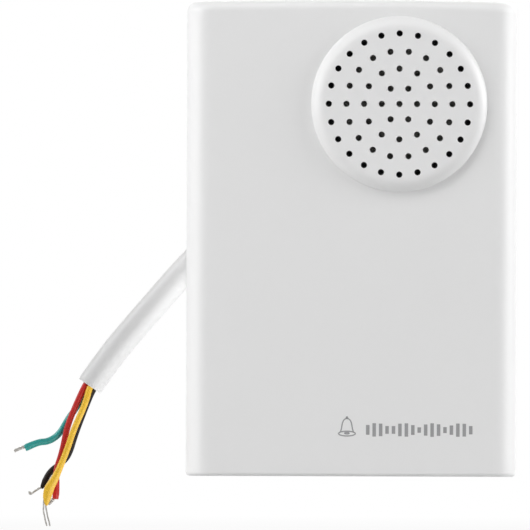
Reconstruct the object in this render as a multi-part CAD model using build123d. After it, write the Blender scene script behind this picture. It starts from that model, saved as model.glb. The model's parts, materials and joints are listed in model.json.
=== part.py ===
from build123d import *
from math import cos, pi, radians, sin, sqrt, tan
import os

# A wired door chime: a moulded box that hangs on two screws, with a loudspeaker behind a
# round grille and a four-core cable. Millimetres. X is to the viewer's right, Z is up and
# Y points at the wall. The wall plane is y = 0 and the box's front faces -Y.

# Box
case_w = 80.0
case_h = 115.0
case_d = 25.0
crown = 0.6
wall = 2.0
base_d = 8.0
front_edge_r = 5.6
top_edge_r = 2.5
bottom_edge_r = 0.9
back_edge_r = 1.0

# Lip of the base inside the cover
lip_t = 1.2
lip_h = 1.8
lip_root = 2.5
lip_gap = 0.15

# Screws that join base and cover from behind
boss_r = 3.4
boss_clear = 0.75
screw_r = 1.45
screw_head_r = 2.8
screw_head_h = 1.9
screw_len = 11.0
counterbore_depth = 4.6
base_post_wall = 1.1
bore_gap = 0.3
pilot_gap = 0.05
pilot_extra = 1.5
beyond = 0.5

# Keyholes in the base
keyhole_pitch = 70.0
keyhole_head_r = 4.1
keyhole_neck_r = 2.1
keyhole_rise = 6.5

# Stiffening ribs of the base
rib_x = 18.0
rib_t = 1.2
rib_h = 2.5
rib_len = 40.0
rib_end_gap = 8.5

# Grille
dome_rim_w = 2.95
dome_h = 2.8
dome_edge_w = 3.3
grille_t = 1.8
hole_r = 0.75
hole_rings = 4
grille_margin = 0.53

# Loudspeaker: radii from its axis, and its place from the box's right side and top
speaker_side_gap = 8.5
speaker_top_gap = 4.7
gasket_w = 1.6
gasket_t = 0.8
flange_t = 0.6
flange_step_w = 1.4
shelf_outer_r = 13.2
shelf_inner_r = 11.4
shelf_depth = 5.4
basket_floor_r = 6.0
basket_draft = 0.5
basket_depth = 7.3
window_w = 11.0
window_margin = 0.8
cone_r = 15.3
surround_w = 1.7
cone_rim_w = 1.1
cone_rim_drop = 0.7
cone_depth = 3.2
cone_t = 0.35
surround_t = 0.3
cap_r = 6.2
cap_h = 1.7
cap_t = 0.3
former_t = 0.2
winding_t = 0.2
winding_h = 2.7
coil_below_gap = 2.9
spider_t = 0.3
spider_wave = 0.35
spider_rolls = 3
spider_glue_gap = 0.05
spider_lip = 0.9
spider_inset = 0.3
pole_r = 3.95
coil_gap = 0.2
plate_r = 12.0
plate_t = 1.2
magnet_inner_r = 5.5
magnet_r = 12.5
magnet_h = 4.5
yoke_t = 1.3
magnet_chamfer = 0.4
yoke_chamfer = 0.3
fit_gap = 0.02

# Loudspeaker seat and clamps
ring_gap = 0.25
ring_t = 1.25
clamp_angles = (20.0, 140.0, 260.0)
clamp_reach = 2.6
clamp_boss_r = 2.3
clamp_screw_r = 1.0
clamp_head_r = 1.9
clamp_head_h = 1.3
clamp_screw_len = 3.0
washer_r = 3.6
washer_t = 0.6

# Terminal board on the loudspeaker
terminal_w = 9.0
terminal_t = 0.8
terminal_overhang = 1.8
terminal_pitch = 5.2
lug_r = 1.0
lug_h = 0.8

# Circuit board
board_side_clear = 1.65
board_top_clear = 0.8
board_w = 25.0
board_h = 30.0
board_t = 1.6
board_stand = 5.0
standoff_r = 2.3
board_screw_r = 1.1
board_head_r = 1.9
board_head_h = 1.4
board_screw_len = 5.0
board_pilot_extra = 0.8
board_inset = 2.8

# Components on the board, placed from its middle as shares of its width and height
chip_at = (-0.02, -0.11)
chip_w = 9.4
chip_h = 6.4
chip_t = 3.3
chip_stand = 0.5
leg_pitch = 2.54
leg_w = 0.5
leg_reach = 3.81
cans = (((-0.36, 0.13), 3.15, 11.0), ((0.12, 0.35), 2.5, 7.0))
transistors_at = ((-0.12, 0.32), (0.30, 0.24))
transistor_r = 2.3
transistor_h = 4.6
transistor_flat = 1.1
transistor_stand = 2.0
resistors_at = ((-0.02, 0.10), (-0.02, 0.19))
resistor_r = 0.9
resistor_len = 3.6
diode_at = (-0.04, -0.32)
diode_r = 1.35
diode_len = 5.2
lead_r = 0.25
lead_overhang = 1.9
speaker_pads_at = ((0.4, -0.07), (0.4, -0.18))
cable_pads_from = -0.06
cable_pad_pitch = 3.2
cable_pad_inset = 2.2
solder_r = 1.1
solder_tip_r = 0.6
solder_h = 1.2

# Cable: four cores in a jacket, and the trough that leads it through the base
core_r = 0.75
core_gap = 0.07
core_room = 0.22
core_stand = 0.9
core_start = 1.3
jacket_wall = 1.15
jacket_inside = 5.36
jacket_bend_at = 2.64
jacket_edge_at = 0.64
jacket_inner_y = -7.4
jacket_bend_y = -5.05
jacket_edge_y = -3.7
cable_z = -7.1
cable_angle = 46.0
trough_gap = 0.35
trough_wall = 1.35
trough_len = 13.5
trough_end_t = 1.5
trough_roof_rise = 1.9
tie_at = 0.2
tie_gap = 0.03
tie_t = 1.0
tie_w = 2.2
tie_head_w = 3.4
tie_head_h = 2.4
speaker_lead_r = 0.6

# Routes beyond the box, from the place where the cable leaves its side
jacket_beyond = [
    (-6.3, -3.5, -7.2),
    (-13.4, -3.55, -15.4),
    (-18.9, -3.55, -22.1),
    (-23.5, -3.55, -28.8),
]
# each core: where it lies in the jacket (across, deep), its bow between board and jacket
# (share of the way, aside, forward), and its points beyond the jacket's mouth
cores = {
    "core_red": (
        (1, 0),
        (0.51, 0.8, -0.7),
        [(-26.7, -3.6, -32.6), (-29.0, -3.6, -38.5), (-30.6, -3.7, -44.9), (-31.9, -3.8, -49.5),
         (-31.35, -3.7, -53.2), (-31.75, -3.5, -56.3)],
    ),
    "core_yellow": (
        (0, -1),
        (0.51, 0.8, -0.4),
        [(-24.9, -5.1, -32.6), (-27.6, -5.4, -39.5), (-29.2, -5.6, -44.1), (-32.1, -5.7, -51.0),
         (-33.95, -5.6, -54.5), (-34.1, -5.5, -57.4)],
    ),
    "core_teal": (
        (0, 1),
        (0.54, 0.75, -0.75),
        [(-26.4, -1.9, -33.7), (-28.7, -1.7, -37.0), (-30.7, -1.7, -40.8), (-33.4, -1.9, -42.4),
         (-36.2, -2.2, -42.5), (-39.2, -2.4, -44.0)],
    ),
    "core_black": (
        (-1, 0),
        (0.63, 2.25, -0.75),
        [(-24.5, -3.4, -33.0), (-27.0, -3.0, -40.6), (-28.6, -2.4, -45.5), (-30.3, -1.9, -47.9),
         (-33.2, -1.7, -50.1), (-34.6, -2.0, -52.7), (-35.0, -2.1, -54.3)],
    ),
}
# bare copper beyond each core: radius, how far it runs straight on, then its other points
copper_ends = {
    "core_red": [(0.38, (0.0, 0.0), 1.9, [])],
    "core_yellow": [
        (0.2, (-0.25, 0.0), 0.9, [(-34.2, -5.3, -60.8), (-33.8, -5.2, -63.0)]),
        (0.2, (0.25, 0.0), 0.9, [(-33.6, -5.4, -60.4), (-32.95, -5.6, -63.0)]),
    ],
    "core_teal": [(0.36, (0.0, 0.0), 2.5, [])],
    "core_black": [
        (0.2, (0.0, 0.0), 0.5, [(-36.3, -2.3, -54.9), (-37.4, -2.4, -55.5), (-38.1, -2.4, -55.0)]),
    ],
}
# each speaker lead: points from its lug, then points from its pad's tip
speaker_lead_routes = [
    ([(0.0, 0.1, 0.0), (-0.3, 3.0, -0.4)], [(1.3, -4.4, 4.7), (0.1, -2.4, 1.9), (0.0, -0.5, 0.1)]),
    ([(0.0, 0.1, 0.0), (-0.2, 3.0, -0.3)], [(1.6, -4.2, 3.6), (0.2, -2.4, 1.4), (0.0, -0.5, 0.0)]),
]

# Planes across the box, as y
parting = -base_d
front = -case_d
seat = front + wall
grille_front = front - dome_h
grille_back = grille_front + grille_t
flange_front = seat + gasket_t
flange_back = flange_front + flange_t
basket_back = flange_back + basket_depth - flange_t
plate_back = basket_back + plate_t
magnet_back = plate_back + magnet_h
yoke_back = magnet_back + yoke_t
board_back = -wall - board_stand
board_front = board_back - board_t

# Radii that follow
flange_inner_r = cone_r + surround_w
chamber_r = flange_inner_r + flange_step_w
speaker_r = chamber_r + gasket_w
dome_r = chamber_r + dome_rim_w
hole_pitch = (chamber_r - grille_margin - hole_r) / hole_rings
former_r = pole_r + coil_gap
plate_bore_r = former_r + former_t + winding_t + coil_gap
core_spread = sqrt(2) * core_r + core_gap
jacket_bore_r = core_spread + core_r + core_room
jacket_r = jacket_bore_r + jacket_wall
post_r = screw_head_r + bore_gap + base_post_wall

# Places that follow
speaker_x = case_w / 2 - speaker_side_gap - speaker_r
speaker_z = case_h / 2 - speaker_top_gap - speaker_r
lip_inset = wall + lip_gap + lip_t
screw_inset = lip_inset + boss_r + boss_clear
board_x = -case_w / 2 + lip_inset + board_side_clear + board_w / 2
board_z = case_h / 2 - screw_inset - post_r - board_top_clear - board_h / 2
cable_pads_at = [
    (cable_pads_from + k * cable_pad_pitch / board_w, cable_pad_inset / board_h - 0.5)
    for k in range(len(cores))
]
corner_screws = [
    (side * (case_w / 2 - screw_inset), level * (case_h / 2 - screw_inset))
    for side in (-1, 1)
    for level in (-1, 1)
]
clamp_ring = speaker_r + clamp_reach
clamps = [
    (speaker_x + clamp_ring * cos(radians(a)), speaker_z + clamp_ring * sin(radians(a)))
    for a in clamp_angles
]
board_screws_at = [
    (board_x - board_w / 2 + board_inset, board_z - board_h / 2 + board_inset),
    (board_x - board_w / 2 + board_inset, board_z + board_h / 2 - board_inset),
    (board_x + board_w / 2 - board_inset, board_z + board_h / 2 - board_inset),
]


def rod(x, z, radius, back, front_y):
    """Round bar along Y between two planes."""
    return Pos(x, (back + front_y) / 2, z) * Rot(90, 0, 0) * Cylinder(radius, back - front_y)


def block(x_low, x_high, back, front_y, z_low, z_high):
    """Block between planes."""
    size = Box(x_high - x_low, back - front_y, z_high - z_low)
    return Pos((x_low + x_high) / 2, (back + front_y) / 2, (z_low + z_high) / 2) * size


def turned(profile):
    """Solid of revolution about the loudspeaker's axis; the profile holds (radius, y)."""
    return Pos(speaker_x, 0, speaker_z) * revolve(profile, Axis.Y)


def section(points):
    """Closed profile through points of (radius, y)."""
    return make_face(Polyline(*points, close=True))


def box_form(inset, back, front_y, side_r=0.0):
    """The box's outline drawn in by an inset, with its crowned top and rounded front sides."""
    half = case_w / 2 - inset
    low = -case_h / 2 + inset
    high = case_h / 2 - inset
    sides = Polyline((-half, high), (-half, low), (half, low), (half, high))
    top = ThreePointArc((half, high), (0, high + crown), (-half, high))
    form = extrude(Plane.XZ.offset(-back) * make_face(sides + top), back - front_y)
    if side_r > 0:
        upright = form.edges().filter_by(Axis.Z).group_by(Axis.Y)[0]
        form = fillet(upright, side_r)
    return form


def edges_past(face, limit):
    """Edges of a face that do not lie in the plane y = limit."""
    return [edge for edge in face.edges() if edge.center().Y < limit - 0.01]


# Front cover


def grille_holes():
    """Cutters for one hole in the middle and rings of six, twelve and so on round it."""
    places = [(0.0, 0.0)]
    for ring in range(1, hole_rings + 1):
        count = 6 * ring
        for step in range(count):
            turn = radians(360 * step / count)
            places.append((ring * hole_pitch * cos(turn), ring * hole_pitch * sin(turn)))
    return [
        rod(speaker_x + x, speaker_z + z, hole_r, grille_back + beyond, grille_front - beyond)
        for x, z in places
    ]


def dome():
    """Raised disc over the grille, whose edge curves down to the box's front."""
    face, foot, root = (dome_r - dome_edge_w, grille_front), (dome_r, front), front + wall / 2
    edge = TangentArc(face, foot, tangent=(1, 0))
    rest = Polyline(foot, (dome_r, root), (0, root), (0, grille_front), face)
    return turned(make_face(edge + rest))


def front_cover():
    """Lid with a raised grille, the loudspeaker's seat and the screw bosses."""
    shell = box_form(0, parting, front, front_edge_r)
    shell = fillet(edges_past(shell.faces().sort_by(Axis.Z)[-1], parting), top_edge_r)
    shell = fillet(edges_past(shell.faces().sort_by(Axis.Z)[0], parting), bottom_edge_r)
    shell += dome()
    shell -= box_form(wall, parting, seat, front_edge_r - wall)
    shell -= rod(speaker_x, speaker_z, chamber_r, seat, grille_back)
    shell -= grille_holes()
    inner_r = speaker_r + ring_gap
    ring = rod(speaker_x, speaker_z, inner_r + ring_t, flange_back, seat)
    bosses = [rod(x, z, clamp_boss_r, flange_back, seat) for x, z in clamps]
    seat_wall = ring + bosses - rod(speaker_x, speaker_z, inner_r, flange_back, seat)
    posts = [rod(x, z, boss_r, parting, seat) for x, z in corner_screws]
    shell = shell + seat_wall + posts
    pilot_end = screw_seat() - screw_len - pilot_extra
    pilots = [rod(x, z, screw_r + pilot_gap, parting, pilot_end) for x, z in corner_screws]
    clamp_end = flange_back + washer_t - clamp_screw_len - pilot_gap
    pilots += [rod(x, z, clamp_screw_r + pilot_gap, flange_back, clamp_end) for x, z in clamps]
    return shell - pilots


# Base


def screw_seat():
    """Plane that the heads of the housing screws bear on."""
    return -counterbore_depth


def trough_plane():
    """Plane along the cable's way in: first axis along it, second axis away from the wall."""
    along = (cos(radians(cable_angle)), 0, sin(radians(cable_angle)))
    across = (sin(radians(cable_angle)), 0, -cos(radians(cable_angle)))
    return Plane(origin=(-case_w / 2, 0, cable_z), x_dir=along, z_dir=across)


def trough(margin, start, end, open_by):
    """Bar along the cable's way in, with the sloping roof that follows the cable."""
    reach = jacket_r + trough_gap + margin
    roof = reach - jacket_edge_y
    rise = trough_roof_rise / trough_len
    side = [
        (start, -open_by),
        (end, -open_by),
        (end, roof + rise * end),
        (start, roof + rise * start),
    ]
    face = trough_plane() * make_face(Polyline(*side, close=True))
    return extrude(face, reach, both=True)


def jacket_bore():
    """The hole through the trough's end wall, along the cable."""
    inner = Vector(*jacket_route[0])
    outer = Vector(*jacket_route[1])
    plane = Plane(origin=(inner + outer) / 2, z_dir=inner - outer)
    return plane * Cylinder(jacket_r + trough_gap / 2, (inner - outer).length)


def keyhole(z):
    """Round entry for the screw's head with a narrow way up for its neck."""
    entry = rod(0, z, keyhole_head_r, 0, -wall)
    neck = rod(0, z + keyhole_rise, keyhole_neck_r, 0, -wall)
    way = block(-keyhole_neck_r, keyhole_neck_r, 0, -wall, z, z + keyhole_rise)
    return entry + neck + way


def lip():
    """Rim that stands up inside the cover."""
    root = box_form(wall, parting + lip_root, parting)
    root -= box_form(lip_inset, parting + lip_root, parting)
    tongue = box_form(wall + lip_gap, parting, parting - lip_h)
    tongue -= box_form(lip_inset, parting, parting - lip_h)
    return root + tongue


def rear_cover():
    """Base that hangs on the wall: keyholes, screw posts, board standoffs, cable trough."""
    base = box_form(0, 0, parting)
    upright = base.edges().filter_by(Axis.Y)
    base = fillet(upright.group_by(Axis.Z)[-1], top_edge_r)
    upright = base.edges().filter_by(Axis.Y)
    base = fillet(upright.group_by(Axis.Z)[0], bottom_edge_r)
    base = fillet(base.faces().sort_by(Axis.Y)[-1].edges(), back_edge_r)
    base -= box_form(wall, -wall, parting)
    base += lip()
    base += [rod(x, z, post_r, -wall / 2, parting) for x, z in corner_screws]
    base += [rod(x, z, standoff_r, -wall / 2, board_back) for x, z in board_screws_at]
    rib_low = -case_h / 2 + rib_end_gap
    base += [
        block(side * rib_x - rib_t / 2, side * rib_x + rib_t / 2, -wall / 2, -wall - rib_h,
              rib_low, rib_low + rib_len)
        for side in (-1, 1)
    ]
    hood = trough(trough_wall, 0, trough_len + trough_end_t, -wall / 2)
    base += hood & box_form(wall / 2, 0, parting)
    base += hood & box_form(wall + lip_gap, parting, front)
    base -= trough(0, -2 * jacket_r, trough_len, beyond)
    base -= jacket_bore()
    base -= [keyhole(side * keyhole_pitch / 2) for side in (-1, 1)]
    base -= [rod(x, z, screw_head_r + bore_gap, 0, screw_seat()) for x, z in corner_screws]
    base -= [rod(x, z, screw_r + bore_gap, 0, parting) for x, z in corner_screws]
    pilot = min(board_front + board_screw_len + board_pilot_extra, -wall)
    base -= [
        rod(x, z, board_screw_r + pilot_gap, pilot, board_back)
        for x, z in board_screws_at
    ]
    return base


# Screws


def pan_screw(x, z, under_head, head_side, head_r, head_h, shank_r, length):
    """Screw along Y with a pan head; head_side is +1 where the head is on the wall's side."""
    top = under_head + head_side * head_h
    tip = under_head - head_side * length
    head = rod(x, z, head_r, max(under_head, top), min(under_head, top))
    outer = head.edges().filter_by(GeomType.CIRCLE).sort_by(Axis.Y)[-1 if head_side > 0 else 0]
    head = fillet(outer, head_h * 0.45)
    shank = rod(x, z, shank_r, max(under_head, tip), min(under_head, tip))
    point = shank.edges().filter_by(GeomType.CIRCLE).sort_by(Axis.Y)[0 if head_side > 0 else -1]
    return head + chamfer(point, shank_r * 0.5)


def housing_screws():
    return [
        pan_screw(x, z, screw_seat(), 1, screw_head_r, screw_head_h, screw_r, screw_len)
        for x, z in corner_screws
    ]


def clamp_screws():
    top = flange_back + washer_t
    return [
        pan_screw(x, z, top, 1, clamp_head_r, clamp_head_h, clamp_screw_r, clamp_screw_len)
        for x, z in clamps
    ]


def clamp_washers():
    return [
        rod(x, z, washer_r, flange_back + washer_t, flange_back)
        - rod(x, z, clamp_screw_r + bore_gap, flange_back + washer_t, flange_back)
        for x, z in clamps
    ]


def board_screws():
    return [
        pan_screw(x, z, board_front, -1, board_head_r, board_head_h, board_screw_r, board_screw_len)
        for x, z in board_screws_at
    ]


# Loudspeaker


def speaker_gasket():
    return turned(
        section(
            [
                (chamber_r, seat),
                (speaker_r, seat),
                (speaker_r, flange_front),
                (chamber_r, flange_front),
            ]
        )
    )


def shelf_front():
    return flange_front + shelf_depth


def speaker_frame():
    """Pressed basket: flange, sloping wall with four windows, spider shelf and floor."""
    floor_back = basket_back
    floor_front = basket_back - flange_t
    profile = section(
        [
            (speaker_r, flange_front),
            (flange_inner_r, flange_front),
            (shelf_outer_r, shelf_front()),
            (shelf_inner_r, shelf_front()),
            (shelf_inner_r - basket_draft, floor_front),
            (basket_floor_r, floor_front),
            (basket_floor_r, floor_back),
            (shelf_inner_r + flange_t - basket_draft, floor_back),
            (shelf_inner_r + flange_t, shelf_front() + flange_t),
            (shelf_outer_r + flange_t / 2, shelf_front() + flange_t),
            (flange_inner_r + flange_t, flange_back),
            (speaker_r, flange_back),
        ]
    )
    basket = turned(profile)
    window = block(
        shelf_outer_r,
        speaker_r,
        shelf_front() - window_margin,
        flange_back + window_margin,
        -window_w / 2,
        window_w / 2,
    )
    centre = Pos(speaker_x, 0, speaker_z)
    return basket - [centre * Rot(0, 45 + 90 * k, 0) * window for k in range(4)]


def cone_front(radius):
    """Plane of the cone's front face at a radius."""
    rim = flange_front + cone_rim_drop
    inner = former_r + former_t
    share = (radius - inner) / (cone_r - cone_rim_w - inner)
    return rim + cone_depth * (1 - min(share, 1.0))


def speaker_cone():
    """Paper cone with a flat rim, glued on the voice coil's former."""
    inner = former_r + former_t
    bend = cone_r - cone_rim_w
    return turned(
        section(
            [
                (inner, cone_front(inner)),
                (bend, cone_front(bend)),
                (cone_r, cone_front(bend)),
                (cone_r, cone_front(bend) + cone_t),
                (bend, cone_front(bend) + cone_t),
                (inner, cone_front(inner) + cone_t),
            ]
        )
    )


def speaker_surround():
    """Half roll between the cone's rim and the flange."""
    roll_r = (flange_inner_r - cone_r) / 2
    middle = (flange_inner_r + cone_r) / 2
    rim = cone_front(cone_r)
    crest = flange_front - roll_r
    outer = Line((chamber_r - fit_gap, flange_front), (flange_inner_r, flange_front))
    inner_roll = ThreePointArc(
        (flange_inner_r, flange_front),
        (middle, crest + surround_t),
        (cone_r + surround_t, flange_front),
    )
    leg = Polyline(
        (cone_r + surround_t, flange_front),
        (cone_r + surround_t, rim),
        (cone_r - cone_rim_w, rim),
        (cone_r - cone_rim_w, rim - surround_t),
        (cone_r, rim - surround_t),
        (cone_r, flange_front),
    )
    outer_roll = ThreePointArc(
        (cone_r, flange_front), (middle, crest), (flange_inner_r + surround_t, flange_front - surround_t)
    )
    lip_end = Polyline(
        (flange_inner_r + surround_t, flange_front - surround_t),
        (chamber_r - fit_gap, flange_front - surround_t),
        (chamber_r - fit_gap, flange_front),
    )
    return turned(make_face(outer + inner_roll + leg + outer_roll + lip_end))


def dust_cap():
    """Domed paper cap over the coil."""
    rim = cone_front(cap_r) - fit_gap
    inner_rim = cap_r - cap_t
    outer = ThreePointArc((-cap_r, rim), (0, rim - cap_h), (cap_r, rim))
    inner = ThreePointArc((-inner_rim, rim), (0, rim - cap_h + cap_t), (inner_rim, rim))
    feet = Line((cap_r, rim), (inner_rim, rim)) + Line((-cap_r, rim), (-inner_rim, rim))
    whole = make_face(outer + inner + feet)
    half = whole & (Pos(cap_r, rim) * Rectangle(2 * cap_r, 4 * cap_h))
    return turned(half)


def voice_coil():
    """Paper former with its winding in the magnet's gap."""
    top = cone_front(former_r) - 2 * cone_t
    low = basket_back + coil_below_gap
    winding_top = low - winding_h
    outer = former_r + former_t
    return turned(
        section(
            [
                (former_r, top),
                (outer, top),
                (outer, winding_top),
                (outer + winding_t, winding_top),
                (outer + winding_t, low),
                (former_r, low),
            ]
        )
    )


def spider():
    """Corrugated disc that centres the coil, glued on the basket's shelf."""
    inner = former_r + former_t
    hub_r = inner + spider_lip
    outer = shelf_inner_r - spider_inset
    low = shelf_front()
    rise = low - (cone_front(inner) + cone_t + spider_glue_gap + spider_t)
    crests = []
    count = 2 * spider_rolls
    for k in range(count + 1):
        share = k / count
        wave = 0 if k in (0, count) else spider_wave * (1 if k % 2 else -1)
        crests.append((hub_r + (outer - hub_r) * share, low - rise * (1 - share) + wave))
    back = [(inner, low - rise)] + crests + [(shelf_outer_r - spider_inset, low)]
    face = [(r, y - spider_t) for r, y in reversed(back)]
    return turned(section(back + face))


def top_plate():
    return turned(
        section(
            [
                (plate_bore_r, basket_back),
                (plate_r, basket_back),
                (plate_r, plate_back),
                (plate_bore_r, plate_back),
            ]
        )
    )


def magnet():
    ring = turned(
        section(
            [
                (magnet_inner_r, plate_back),
                (magnet_r, plate_back),
                (magnet_r, magnet_back),
                (magnet_inner_r, magnet_back),
            ]
        )
    )
    rims = ring.edges().filter_by(GeomType.CIRCLE).group_by(SortBy.RADIUS)[-1]
    return chamfer(rims, magnet_chamfer)


def yoke():
    """Back plate with the pole piece on it."""
    return turned(
        section(
            [
                (0, basket_back),
                (pole_r, basket_back),
                (pole_r, magnet_back),
                (plate_r, magnet_back),
                (plate_r, yoke_back - yoke_chamfer),
                (plate_r - yoke_chamfer, yoke_back),
                (0, yoke_back),
            ]
        )
    )


def terminal_board():
    inner = speaker_x - flange_inner_r - flange_t - fit_gap
    outer = speaker_x - speaker_r - terminal_overhang
    half = terminal_w / 2
    back = flange_back + terminal_t
    return block(outer, inner, back, flange_back, speaker_z - half, speaker_z + half)


def lug_places():
    """Each lug's place across the terminal board, the upper one first."""
    x = speaker_x - speaker_r - lug_r / 2
    return [(x, speaker_z + side * terminal_pitch / 2) for side in (1, -1)]


def terminal_lugs():
    back = flange_back + terminal_t
    return [rod(x, z, lug_r, back + lug_h, back) for x, z in lug_places()]


# Circuit board


def on_board(place):
    """A place given in shares of the board's size, in the box's frame."""
    return board_x + place[0] * board_w, board_z + place[1] * board_h


def circuit_board():
    half_w = board_w / 2
    half_h = board_h / 2
    plate = block(
        board_x - half_w, board_x + half_w, board_back, board_front,
        board_z - half_h, board_z + half_h,
    )
    holes = [
        rod(x, z, board_screw_r + bore_gap, board_back, board_front) for x, z in board_screws_at
    ]
    return plate - holes


def chime_chip():
    """Eight-legged chip."""
    x, z = on_board(chip_at)
    low = board_front - chip_stand
    chip = block(x - chip_w / 2, x + chip_w / 2, low, low - chip_t, z - chip_h / 2, z + chip_h / 2)
    knee = low - chip_t / 2
    for k in range(4):
        leg_x = x + (k - 1.5) * leg_pitch
        left = leg_x - leg_w / 2
        right = leg_x + leg_w / 2
        reach = leg_reach + leg_w / 4
        chip += block(left, right, knee, knee - leg_w / 2, z - reach, z + reach)
        for side in (-1, 1):
            edge = z + side * leg_reach
            chip += block(left, right, board_front, knee - leg_w / 2, edge - leg_w / 4, edge + leg_w / 4)
    return chip


def capacitors():
    """Upright cans with a rolled top edge and a sleeve groove near the foot."""
    group = []
    for place, radius, height in cans:
        x, z = on_board(place)
        can = rod(x, z, radius, board_front, board_front - height)
        can = fillet(can.edges().filter_by(GeomType.CIRCLE).sort_by(Axis.Y)[0], radius * 0.15)
        group.append(can)
    return group


def transistors():
    """Three-legged packages with a flat face."""
    group = []
    for place in transistors_at:
        x, z = on_board(place)
        low = board_front - transistor_stand
        body = rod(x, z, transistor_r, low, low - transistor_h)
        cut = z - transistor_r
        body -= block(
            x - transistor_r, x + transistor_r, low, low - transistor_h,
            cut, cut + transistor_flat,
        )
        for k in (-1, 0, 1):
            leg_x = x + k * leg_pitch / 2
            body += block(
                leg_x - lead_r, leg_x + lead_r, board_front, low - lead_r, z - lead_r, z + lead_r
            )
        group.append(body)
    return group


def axial_part(place, radius, length):
    """Component lying along X on two bent leads."""
    x, z = on_board(place)
    axis_y = board_front - radius
    body = Pos(x, axis_y, z) * Rot(0, 90, 0) * Cylinder(radius, length)
    body = chamfer(body.edges().filter_by(GeomType.CIRCLE), radius * 0.25)
    reach = length / 2 + lead_overhang
    for side in (-1, 1):
        near = x + side * (length / 2 - lead_r)
        far = x + side * reach
        body += block(min(near, far), max(near, far), axis_y + lead_r, axis_y - lead_r,
                      z - lead_r, z + lead_r)
        body += block(far - lead_r, far + lead_r, board_front, axis_y - lead_r,
                      z - lead_r, z + lead_r)
    return body


def resistors():
    return [axial_part(place, resistor_r, resistor_len) for place in resistors_at]


def diode():
    return axial_part(diode_at, diode_r, diode_len)


def solder_joints():
    group = []
    for place in cable_pads_at + list(speaker_pads_at):
        x, z = on_board(place)
        cone = Cone(solder_r, solder_tip_r, solder_h)
        group.append(Pos(x, board_front - solder_h / 2, z) * Rot(90, 0, 0) * cone)
    return group


# Cable


def beside_box(points):
    """Points given from where the cable leaves the box's side, in the box's frame."""
    return [(x - case_w / 2, y, z + cable_z) for x, y, z in points]


def in_trough(inwards, y):
    """A point over the trough's middle line, some way in from the box's side."""
    turn = radians(cable_angle)
    return (inwards * cos(turn) - case_w / 2, y, inwards * sin(turn) + cable_z)


def cord_path(points, diameter, name):
    """Straight runs joined by tangent arcs, each as large as its two runs allow."""
    radii = []
    for before, corner, after in zip(points, points[1:], points[2:]):
        run_in = Vector(*corner) - Vector(*before)
        run_out = Vector(*after) - Vector(*corner)
        half_turn = radians(run_in.get_angle(run_out) / 2)
        radii.append(0.45 * min(run_in.length, run_out.length) / tan(half_turn))
    path = FilletPolyline(*points, radius=radii)
    print(name, "length", round(path.length, 2), "diameter", diameter,
          "least radius", round(min(radii), 1))
    return path


def tube(path, radius, bore=0.0):
    """Round tube swept along a path."""
    ring = Circle(radius)
    if bore > 0:
        ring -= Circle(bore)
    solid = sweep(Plane(origin=path @ 0, z_dir=path % 0) * ring, path=path)
    expected = pi * (radius**2 - bore**2) * path.length
    print("   volume", round(solid.volume, 2), "section times length", round(expected, 2))
    return solid


def cable_jacket():
    return tube(cord_path(jacket_route, 2 * jacket_r, "cable_jacket"), jacket_r, jacket_bore_r)


def core_points(name):
    """A core's route: board, inside the jacket beside its axis, and beyond its mouth."""
    (across, deep), (share, aside, forward), outside = cores[name]
    ends = Vector(*jacket_route[-1]) - Vector(*jacket_route[0])
    flat = Vector(ends.X, 0, ends.Z).normalized()
    shift = Vector(flat.Z * across, deep, -flat.X * across) * core_spread
    between = [Vector(*point) + shift for point in jacket_route]
    pad_x, pad_z = on_board(cable_pads_at[list(cores).index(name)])
    start = Vector(pad_x, board_front - core_stand, pad_z - core_start)
    bow = start + (between[0] - start) * share + Vector(aside, forward, 0)
    return [tuple(point) for point in [start, bow] + between] + beside_box(outside)


def core(name):
    return tube(cord_path(core_points(name), 2 * core_r, name), core_r)


def copper():
    """Stripped conductors, each starting on the end face of its core."""
    group = []
    for name, strands in copper_ends.items():
        points = core_points(name)
        end = Vector(*points[-1])
        way = (end - Vector(*points[-2])).normalized()
        side = Vector(0, 1, 0).cross(way).normalized()
        for radius, (across, deep), straight, others in strands:
            start = end + side * across
            route = [start, start + way * straight]
            route += [Vector(*point) for point in beside_box(others)]
            if len(route) == 2:
                path = Line(*route)
            else:
                path = cord_path([tuple(point) for point in route], 2 * radius, "copper")
            group.append(tube(path, radius))
    return group


def cable_tie():
    """Tie round the jacket behind the trough's end wall, so that a pull can't draw it out."""
    inner = Vector(*jacket_route[0])
    outer = Vector(*jacket_route[1])
    middle = inner + (outer - inner) * tie_at
    plane = Plane(origin=middle, x_dir=(0, -1, 0), z_dir=inner - outer)
    band_r = jacket_r + tie_gap
    band = Cylinder(band_r + tie_t, tie_w)
    head = Pos(band_r + tie_head_h / 2, 0, 0) * Box(tie_head_h, tie_head_w, tie_w + 1)
    return plane * (band + head - Cylinder(band_r, tie_w + 2))


def speaker_leads():
    """Two leads, each from its lug to its pad on the board."""
    group = []
    lug_end = flange_back + terminal_t + lug_h
    for lug, pad, (near_lug, near_pad) in zip(lug_places(), speaker_pads_at, speaker_lead_routes):
        pad_x, pad_z = on_board(pad)
        route = [(lug[0] + x, lug_end + y, lug[1] + z) for x, y, z in near_lug]
        route += [(pad_x + x, board_front - solder_h + y, pad_z + z) for x, y, z in near_pad]
        group.append(tube(cord_path(route, 2 * speaker_lead_r, "speaker_leads"), speaker_lead_r))
    return group


jacket_route = [
    in_trough(trough_len + trough_end_t + jacket_inside, jacket_inner_y),
    in_trough(trough_len - jacket_bend_at, jacket_bend_y),
    in_trough(-jacket_edge_at, jacket_edge_y),
] + beside_box(jacket_beyond)

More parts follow.
